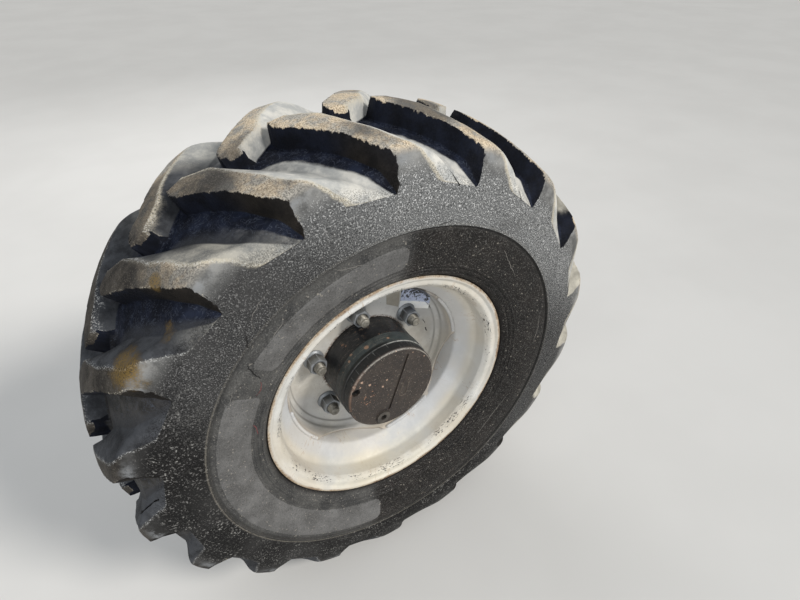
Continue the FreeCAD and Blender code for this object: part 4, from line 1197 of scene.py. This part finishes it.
def make_rim():
    """Rim section with rolled lips, bead seats and drop well."""
    brim = RIM_END
    root = brim - LIP_CURL
    skin = SEAT_R - RIM_WALL
    side = [
        (FLANGE_R, brim, 1.6), (FLANGE_R - 2.8, brim - 6.9, 4.0), (FLANGE_R - LIP_CURL, root, 4.0),
        (SEAT_R, root, 2.0), (SEAT_R - 2.0, root - SEAT_WIDTH, 8.0), (WELL_R, WELL_HALF, 10.0),
    ]
    inner = [
        (FLANGE_R - 6.0, brim, 1.6), (FLANGE_R - LIP_CURL, brim - 3.7, 4.0),
        (skin + 8.0, brim - 3.7, 6.0), (skin, brim - 11.7, 6.0),
        (skin - 2.0, root - SEAT_WIDTH, 12.0), (WELL_R - RIM_WALL, WELL_HALF, 10.0),
    ]

    def mirrored(rows):
        return [(radius, -out, size) for radius, out, size in rows]

    section = mirrored(side) + side[::-1] + inner + mirrored(inner)[::-1]
    return lathe("rim_shell", section, RIM, "wheel", ("rim",), segments=240, steps=5)


DISC_SECTION = np.array([
    # radius, height above the disc's face
    (80.6, 0.0), (90.0, 0.0), (118.0, 0.0), (131.0, 0.2), (136.0, 0.8), (139.8, 2.2),
    (142.6, 5.4), (146.4, 7.2), (148.8, 10.6), (151.6, 17.5), (153.0, 24.0), (153.3, 27.5),
    (153.6, 31.0),
    (155.2, 35.5), (158.0, 39.0), (159.9, 41.0),
])
ARCH_R = 108.0
ARCH_FLOOR = 16.0
DISC_WALL = 8.0
DISC_EDGE_WALL = 6.0
DISC_SEGMENTS = 288
DISC_ROWS = 40


def disc_point(along):
    """Radius and height above the disc's face at a distance along its section."""
    lengths = lengths_of(DISC_SECTION)
    return (smooth_table(along, lengths, DISC_SECTION[:, k]) for k in (0, 1))


def make_disc():
    """Pressed disc with its turned-up edge, cut away at four arches."""
    fine = np.linspace(0, lengths_of(DISC_SECTION)[-1], 400)
    radius, height = disc_point(fine)
    angles = np.arange(DISC_SEGMENTS) * 360.0 / DISC_SEGMENTS
    pitch = 360.0 / ARCH_COUNT
    local = np.radians((angles - ARCH_PHASE + pitch / 2) % pitch - pitch / 2)
    across = radius[:, None] * np.sin(local)[None, :]
    inside = across**2 + (height[:, None] - ARCH_FLOOR - ARCH_R) ** 2 < ARCH_R**2
    last = np.where(inside.any(axis=0), fine[np.argmax(inside, axis=0)], fine[-1])
    along = np.linspace(0, 1, DISC_ROWS)[:, None] ** 0.8 * last[None, :]
    front_r, front_h = np.interp(along, fine, radius), np.interp(along, fine, height)
    slope_r = np.interp(along, fine, np.gradient(radius, fine))
    slope_h = np.interp(along, fine, np.gradient(height, fine))
    size = np.hypot(slope_r, slope_h)
    thick = np.where(front_h > 28.0, DISC_EDGE_WALL, DISC_WALL)
    limit = WELL_R - RIM_WALL
    back_r = np.minimum(front_r + slope_h / size * thick, limit - 0.2)
    back_h = front_h - slope_r / size * thick
    edge_r, edge_h = [], []
    for t in (0.15, 0.5, 0.85):
        puff = 0.8 * math.sin(math.pi * t)
        edge_r.append(front_r[-1] * (1 - t) + back_r[-1] * t + slope_r[-1] / size[-1] * puff)
        edge_h.append(front_h[-1] * (1 - t) + back_h[-1] * t + slope_h[-1] / size[-1] * puff)
    all_r = np.minimum(np.concatenate([front_r, edge_r, back_r[::-1]]), limit + 0.3)
    all_h = np.concatenate([front_h, edge_h, back_h[::-1]])
    points = spot(all_r, angles[None, :], DISC_FACE + all_h)
    faces = grid_faces(len(all_r), DISC_SEGMENTS, wrap_rows=True)
    return build("disc_pressing", points, faces, DISC, "wheel", ("wheel_disc",),
                 crease=45.0)


WELD_RADIUS = 3.2
WELD_SPAN = (27.5, 62.5)


def make_welds():
    """Rippled weld beads between the disc's edge and the well, from arch to arch."""
    beads = []
    for arch in range(ARCH_COUNT):
        start = ARCH_PHASE + arch * 360.0 / ARCH_COUNT
        angles = np.linspace(start + WELD_SPAN[0], start + WELD_SPAN[1], 160)
        ripple = WELD_RADIUS * (1 + 0.12 * np.sin(np.arange(160) * 1.9)) + rng.normal(0, 0.08, 160)
        taper = np.minimum(1, np.minimum(np.arange(160), np.arange(160)[::-1]) / 5.0 + 0.3)
        turn = np.arange(10)[None, :] * 36.0
        reach = (ripple * taper)[:, None]
        radius = 157.6 + reach * np.cos(np.radians(turn))
        out = DISC_FACE + 40.0 + reach * np.sin(np.radians(turn))
        points = spot(radius, angles[:, None], out)
        faces = grid_faces(160, 10) + [tuple(range(10)), tuple(range(1599, 1589, -1))]
        beads.append((points.reshape(-1, 3), faces))
    points, faces = join(beads)
    build("disc_welds", points, faces, RIM, "wheel", crease=60.0)


def make_label():
    """Blank label and a plain square patch on the disc, with tar above them."""
    lengths = lengths_of(DISC_SECTION)

    def along_at(radius):
        return np.interp(radius, DISC_SECTION[:, 0], lengths)

    def on_disc(bottom, top_share, top_angles, rows, columns):
        (r0, a0), (r1, a1) = bottom
        across = np.linspace(0, 1, columns)
        x = r0 * np.cos(np.radians(a0)) * (1 - across) + r1 * np.cos(np.radians(a1)) * across
        z = r0 * np.sin(np.radians(a0)) * (1 - across) + r1 * np.sin(np.radians(a1)) * across
        start, start_angle = along_at(np.hypot(x, z)), np.degrees(np.arctan2(z, x))
        end_angle = top_angles[0] * (1 - across) + top_angles[1] * across
        up = np.linspace(0, 1, rows)[:, None]
        along = start * (1 - up) + lengths[-1] * top_share * up
        angle = start_angle * (1 - up) + end_angle * up
        radius, height = disc_point(along)
        return np.stack([radius, angle, DISC_FACE + height], axis=-1), np.broadcast_to(
            up, radius.shape)

    path, up = on_disc(((103.0, 49.5), (137.3, 23.0)), 0.985, (71.0, 56.0), 34, 30)
    points, faces = sheet(path, 0.7, 0.5)
    piece = build("blank_label", points, faces, LABEL, "wheel", crease=60.0)
    paint(piece, "up", np.concatenate([up.ravel(), up.ravel()]))
    path, up = on_disc(((104.0, 66.0), (104.0, 51.0)), 0.86, (79.0, 69.5), 26, 14)
    points, faces = sheet(path, 0.5, 0.3)
    build("bare_patch", points, faces, PATCH, "wheel", crease=60.0)

    def on_face(radius):
        return DISC_FACE + np.interp(radius, DISC_SECTION[:, 0], DISC_SECTION[:, 1])

    strokes = [
        ([(139.0, 33.5), (140.6, 28.5), (141.5, 23.0)], 2.0),
        ([(121.0, 15.5), (122.5, 12.6), (124.5, 9.5)], 1.3),
        ([(124.0, 5.0), (126.1, 1.8), (126.8, 0.6)], 2.8),
        ([(152.0, 76.0), (152.6, 71.0), (153.0, 66.0), (152.8, 61.0)], 5.0),
        ([(152.5, 62.0), (153.0, 57.0), (152.8, 52.0)], 5.5),
        ([(150.0, 50.5), (147.5, 47.5), (144.0, 45.5)], 3.2),
        ([(149.5, 69.5), (146.0, 67.0), (139.0, 65.0)], 2.6),
    ]
    points, faces = join([sliver(knots, width, 1.0, 1.0, on_face) for knots, width in strokes])
    build("tar_marks", points, faces, TAR, "wheel")


# Fasteners and hub trim
NUT_FLATS = 27.0
NUT_HEIGHT = 18.0
COLLAR_HEIGHT = 5.0
COLLAR_RADIUS = 18.0
STUD_BODY = 9.0
STUD_TIP = 7.5
TIP_LENGTH = 4.0
THREAD_PITCH = 1.5


def hexagon_shape(flats, end, start):
    """Turns round rows into a hexagon whose end corners are chamfered by a cone."""
    def shape(reach, out, turn):
        local = np.radians((turn + 30.0) % 60.0 - 30.0)
        corner = flats / 2 / np.cos(local)
        is_side = reach > flats / 2 - 0.01
        wide = np.where(is_side, corner, reach)
        cone = end - (corner - flats / 2) * math.tan(math.radians(32.0))
        tall = np.where(is_side & (out > (start + end) / 2), np.minimum(out, cone), out)
        return wide, tall
    return shape


def make_nuts():
    """Hexagon wheel nuts with chamfered tops on their wide collars."""
    nuts, bare = [], []
    foot = DISC_FACE + COLLAR_HEIGHT
    end = foot + NUT_HEIGHT
    for index in range(STUD_COUNT):
        angle = STUD_PHASE + index * 360.0 / STUD_COUNT
        collar = fillet([
            (STUD_BODY + 0.1, DISC_FACE, 0.0), (COLLAR_RADIUS, DISC_FACE, 0.6),
            (COLLAR_RADIUS, DISC_FACE + 2.6, 0.8), (NUT_FLATS / 2 + 1.2, foot + 0.3, 1.0),
            (STUD_BODY + 0.1, foot + 0.3, 0.0),
        ], 3)
        nuts.append(small_turned(collar, STUD_RADIUS, angle, 48))
        bare.append(np.full(len(nuts[-1][0]), 0.8))
        half = NUT_FLATS / 2
        section = [
            (STUD_BODY + 0.1, foot - 1.0), (half, foot - 1.0), (half, foot + 1.0),
            (half, foot + NUT_HEIGHT * 0.4), (half, end), (half - 0.6, end + 0.02),
            (STUD_BODY + 1.4, end), (STUD_BODY + 0.1, end - 1.2),
        ]
        twist = rng.uniform(0, 60)
        points, faces = small_turned(section, STUD_RADIUS, angle, 72,
                                     hexagon_shape(NUT_FLATS, end, foot))
        centre = spot(STUD_RADIUS, angle, 0.0)
        turn = np.array(Matrix.Rotation(math.radians(twist), 3, "Y"))
        nuts.append(((points - centre) @ turn.T + centre, faces))
        reach = np.hypot(*(points - centre)[:, [0, 2]].T) / MM
        # Paler corners and top rim: worn zinc with painted highlight
        corner = ease((reach - NUT_FLATS / 2 - 1.3) / 0.7)
        rim = ease((outwards(points[:, 1]) - end + 1.6) / 1.2) * (reach > STUD_BODY + 2.0)
        bare.append(np.maximum(corner, rim) * 0.9)
    points, faces = join(nuts)
    piece = build("hex_nuts", points, faces, NUT, "wheel", ("wheel_nuts",),
                  crease=28.0)
    paint(piece, "bare", np.concatenate(bare))


def make_studs():
    """Threaded wheel studs with plain tips and round heads behind the hub."""
    studs = []
    thread_end = STUD_END - TIP_LENGTH
    thread_start = DISC_FACE + 16.0
    for index in range(STUD_COUNT):
        angle = STUD_PHASE + index * 360.0 / STUD_COUNT
        rows = [(12.5 - 1.0, STUD_BACK), (12.5, STUD_BACK + 1.0), (12.5, STUD_BACK + 8.0),
                (STUD_BODY, STUD_BACK + 8.0), (STUD_BODY, thread_start)]
        rows += [(STUD_BODY, place) for place in
                 np.arange(thread_start + 0.25, thread_end - 0.6, THREAD_PITCH / 4)]
        rows += [(STUD_BODY - 0.9, thread_end), (STUD_TIP, thread_end + 0.2),
                 (STUD_TIP, STUD_END - 1.2), (STUD_TIP - 1.3, STUD_END - 0.1),
                 (2.6, STUD_END - 0.1), (2.2, STUD_END - 0.9)]

        def thread(reach, out, turn):
            phase = (out / THREAD_PITCH + turn / 360.0) % 1.0
            cut = 0.75 * np.abs(2 * phase - 1)
            on_thread = (out > thread_start) & (out < thread_end) & (reach == STUD_BODY)
            return np.where(on_thread, reach - cut, reach), out

        studs.append(small_turned(rows, STUD_RADIUS, angle, 40, thread))
    points, faces = join(studs)
    build("threaded_studs", points, faces, STUD, "wheel", ("wheel_studs",),
          crease=50.0)


def make_gear_ring():
    """Gear ring with rounded outer edges, seen between the drum and the cover."""
    bore = RING_R - 19.0
    section = [
        (bore, DRUM_END, 0.0), (RING_R - 1.0, DRUM_END, 0.5), (RING_R - 1.0, DRUM_END + 1.2, 0.4),
        (RING_R - 0.1, DRUM_END + 1.8, 0.6), (RING_R - 0.1, RING_END, 2.2), (bore, RING_END, 0.0),
    ]
    lathe("ring_body", section, HUB, "wheel", ("gear_ring",), segments=160)


OVAL_CENTRE = (23.0, -9.0)
OVAL_HALF = (12.5, 0.0)
OVAL_RADIUS = 6.0


def make_oval():
    """Raised rim of a bare oval cast on the cover beside its groove."""
    turn = math.radians(GROOVE_TURN)
    lead = Vector((math.cos(turn), math.sin(turn)))
    across = Vector((-lead.y, lead.x))
    ring = []
    for step in range(64):
        t = step / 64 * 2 * math.pi
        shift = OVAL_HALF[0] * (1 if math.cos(t) > 0 else -1)
        local = lead * (shift + OVAL_RADIUS * math.cos(t)) + across * OVAL_RADIUS * math.sin(t)
        ring.append(Vector(OVAL_CENTRE) + local)
    points = []
    for index, here in enumerate(ring):
        ahead = (ring[(index + 1) % 64] - ring[index - 1]).normalized()
        side = Vector((ahead.y, -ahead.x))
        for step in range(8):
            t = step / 8 * 2 * math.pi
            place = here + side * 0.9 * math.cos(t)
            points.append((place.x * MM, CENTRE_Y - (COVER_END + 0.75 * math.sin(t)) * MM,
                           place.y * MM))
    build("cover_oval", points, grid_faces(64, 8, wrap_rows=True), OVAL, "wheel")


def make_valve():
    """Rubber tyre valve: swollen foot, slim neck and ribbed cap."""
    cap = VALVE_END - 10.0
    section = [
        (5.2, cap - 14.0), (7.6, cap - 13.0), (8.4, cap - 10.5), (8.0, cap - 8.8),
        (6.0, cap - 7.4), (5.2, cap - 5.0), (4.9, cap - 3.0), (4.4, cap - 2.2),
        (3.3, cap - 1.9), (3.3, cap - 0.4), (4.3, cap - 0.2),
        (4.5, cap + 0.6), (4.5, cap + 8.4), (3.7, cap + 9.7), (1.4, cap + 10.0),
    ]

    def ribs(reach, out, turn):
        on_cap = (out > cap) & (out < cap + 9.0)
        return reach - np.where(on_cap, 0.35 * (np.sin(np.radians(turn * 16)) > 0), 0.0), out

    points, faces = small_turned(section, VALVE_RADIUS, VALVE_PHASE, 64, ribs)
    build("tyre_valve", points, faces, VALVE, "wheel", ("valve_stem",), crease=35.0)


# Stage
def stage_floor():
    mesh = bpy.data.meshes.new("floor")
    half = 40.0
    corners = [(-half, -half), (half, -half), (half, half), (-half, half)]
    mesh.from_pydata([(x, y, FLOOR_Z) for x, y in corners], [], [(0, 1, 2, 3)])
    floor = bpy.data.objects.new("floor", mesh)
    bpy.context.scene.collection.objects.link(floor)
    shade = Shade("floor_pale", 0.9, specular=0.1)
    soft = shade.noise(2.0, 3.0)
    pale = mix(soft.span(0.3, 0.7), (0.66, 0.65, 0.63), (0.69, 0.68, 0.66))
    mesh.materials.append(shade.done(pale, 0.9))


def add_light(name, kind, place, power, tint, size):
    """Lamp that shines from a place towards the wheel."""
    lamp = bpy.data.lights.new(name, kind)
    lamp.energy = power
    lamp.color = tint
    if kind == "SUN":
        lamp.angle = size
    else:
        lamp.size = size
    holder = bpy.data.objects.new(name, lamp)
    bpy.context.scene.collection.objects.link(holder)
    holder.location = place
    aim = Vector((0.0, CENTRE_Y, 0.0)) - Vector(place)
    holder.rotation_euler = aim.to_track_quat("-Z", "Y").to_euler()


CAMERA_PLACE = (-0.3065, -1.0338, 0.6259)
CAMERA_YAW = 31.57
CAMERA_PITCH = 36.57
CAMERA_ROLL = 0.13
CAMERA_LENS = 23.81


def set_stage():
    scene = bpy.context.scene
    scene.view_settings.view_transform = "Standard"
    world = bpy.data.worlds.new("sky")
    scene.world = world
    world.use_nodes = True
    tree = world.node_tree
    soft = tree.nodes["Background"]
    soft.inputs["Color"].default_value = (0.9, 0.95, 1.0, 1.0)
    soft.inputs["Strength"].default_value = 0.42
    shown = tree.nodes.new("ShaderNodeBackground")
    shown.inputs["Color"].default_value = (0.8, 0.8, 0.79, 1.0)
    path = tree.nodes.new("ShaderNodeLightPath")
    either = tree.nodes.new("ShaderNodeMath")
    either.operation = "MAXIMUM"
    blend = tree.nodes.new("ShaderNodeMixShader")
    tree.links.new(path.outputs["Is Camera Ray"], either.inputs[0])
    tree.links.new(path.outputs["Is Transmission Ray"], either.inputs[1])
    tree.links.new(either.outputs[0], blend.inputs[0])
    tree.links.new(soft.outputs[0], blend.inputs[1])
    tree.links.new(shown.outputs[0], blend.inputs[2])
    tree.links.new(blend.outputs[0], tree.nodes["World Output"].inputs["Surface"])
    add_light("key", "SUN", (1.4, -2.3, 1.8), 2.2, (1.0, 0.965, 0.91), math.radians(14))
    add_light("fill", "AREA", (-1.8, -2.6, 1.5), 34.0, (0.94, 0.97, 1.0), 2.4)
    add_light("back", "AREA", (0.4, 2.2, 1.8), 26.0, (1.0, 1.0, 1.0), 1.8)
    camera = bpy.data.cameras.new("camera")
    camera.sensor_width = 36.0
    camera.lens = CAMERA_LENS
    holder = bpy.data.objects.new("camera", camera)
    scene.collection.objects.link(holder)
    holder.location = CAMERA_PLACE
    turn = Matrix.Rotation(math.radians(-CAMERA_YAW), 3, "Z")
    turn = turn @ Matrix.Rotation(math.radians(90.0 - CAMERA_PITCH), 3, "X")
    turn = turn @ Matrix.Rotation(math.radians(CAMERA_ROLL), 3, "Z")
    holder.rotation_euler = turn.to_euler()
    scene.camera = holder


def dress(name, material):
    """Gives a CAD node its finish."""
    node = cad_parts[name]
    node.data.materials.clear()
    node.data.materials.append(material)


TREAD = tread_rubber()
SIDE = side_rubber()
RIM = rim_paint()
DISC = disc_paint()
HUB = hub_paint()
COVER = cover_paint()
ZINC = zinc("zinc_steel", (112, 112, 108), (156, 156, 150))
NUT = zinc("nut_steel", (72, 73, 74), (112, 112, 110))
STUD = zinc("stud_steel", (112, 109, 101), (160, 156, 146))
SCREW = zinc("screw_steel", (36, 34, 32), (60, 56, 52))
AXLE = cast_paint("axle_grey_paint", (52, 54, 56), (78, 80, 82), 0.5)
SPINDLE = cast_paint("spindle_paint", (44, 45, 47), (66, 67, 68), 0.45)
VALVE = plain_finish("valve_black", (24, 24, 25), (40, 40, 42), 0.5)
SEAL = plain_finish("seal_black", (26, 26, 27), (38, 38, 40), 0.6)
SHAFT = plain_finish("shaft_steel", (120, 118, 114), (150, 148, 144), 0.3, 0.9)
BUSH = plain_finish("bush_brass", (150, 118, 62), (176, 142, 84), 0.35, 0.9)
PLUG = plain_finish("plug_steel", (70, 66, 62), (104, 98, 90), 0.4, 0.4)
OVAL = plain_finish("oval_worn_edge", (58, 50, 44), (112, 101, 90), 0.5)
CUT = plain_finish("cut_rubber", (14, 13, 13), (24, 22, 21), 0.8)
SCUFF = plain_finish("scuff_pale", (112, 109, 104), (138, 134, 128), 0.8)
CHALK = plain_finish("chalk_red", (122, 62, 62), (96, 66, 64), 0.9)
TAR = plain_finish("tar_black", (18, 17, 18), (30, 28, 28), 0.35)
PATCH = plain_finish("bare_patch_grey", (150, 144, 132), (166, 160, 148), 0.55)
LABEL = label_paper()

make_tread()
make_side("sidewall_outer", 1)
make_side("sidewall_inner", -1)
make_side_marks()
make_rim()
make_disc()
make_welds()
make_label()
make_nuts()
make_studs()
make_gear_ring()
make_oval()
make_valve()
FINISHES = {
    "hub": HUB,
    "carrier_cover": COVER,
    "level_plug": PLUG,
    "cover_screw": SCREW,
    "hub_seal": SEAL,
    "axle_arm": AXLE,
    "spindle": SPINDLE,
    "spindle_bolts": ZINC,
    "half_shaft": SHAFT,
    "shaft_bush": BUSH,
}
for node_name, finish in FINISHES.items():
    dress(node_name, finish)
stage_floor()
set_stage()
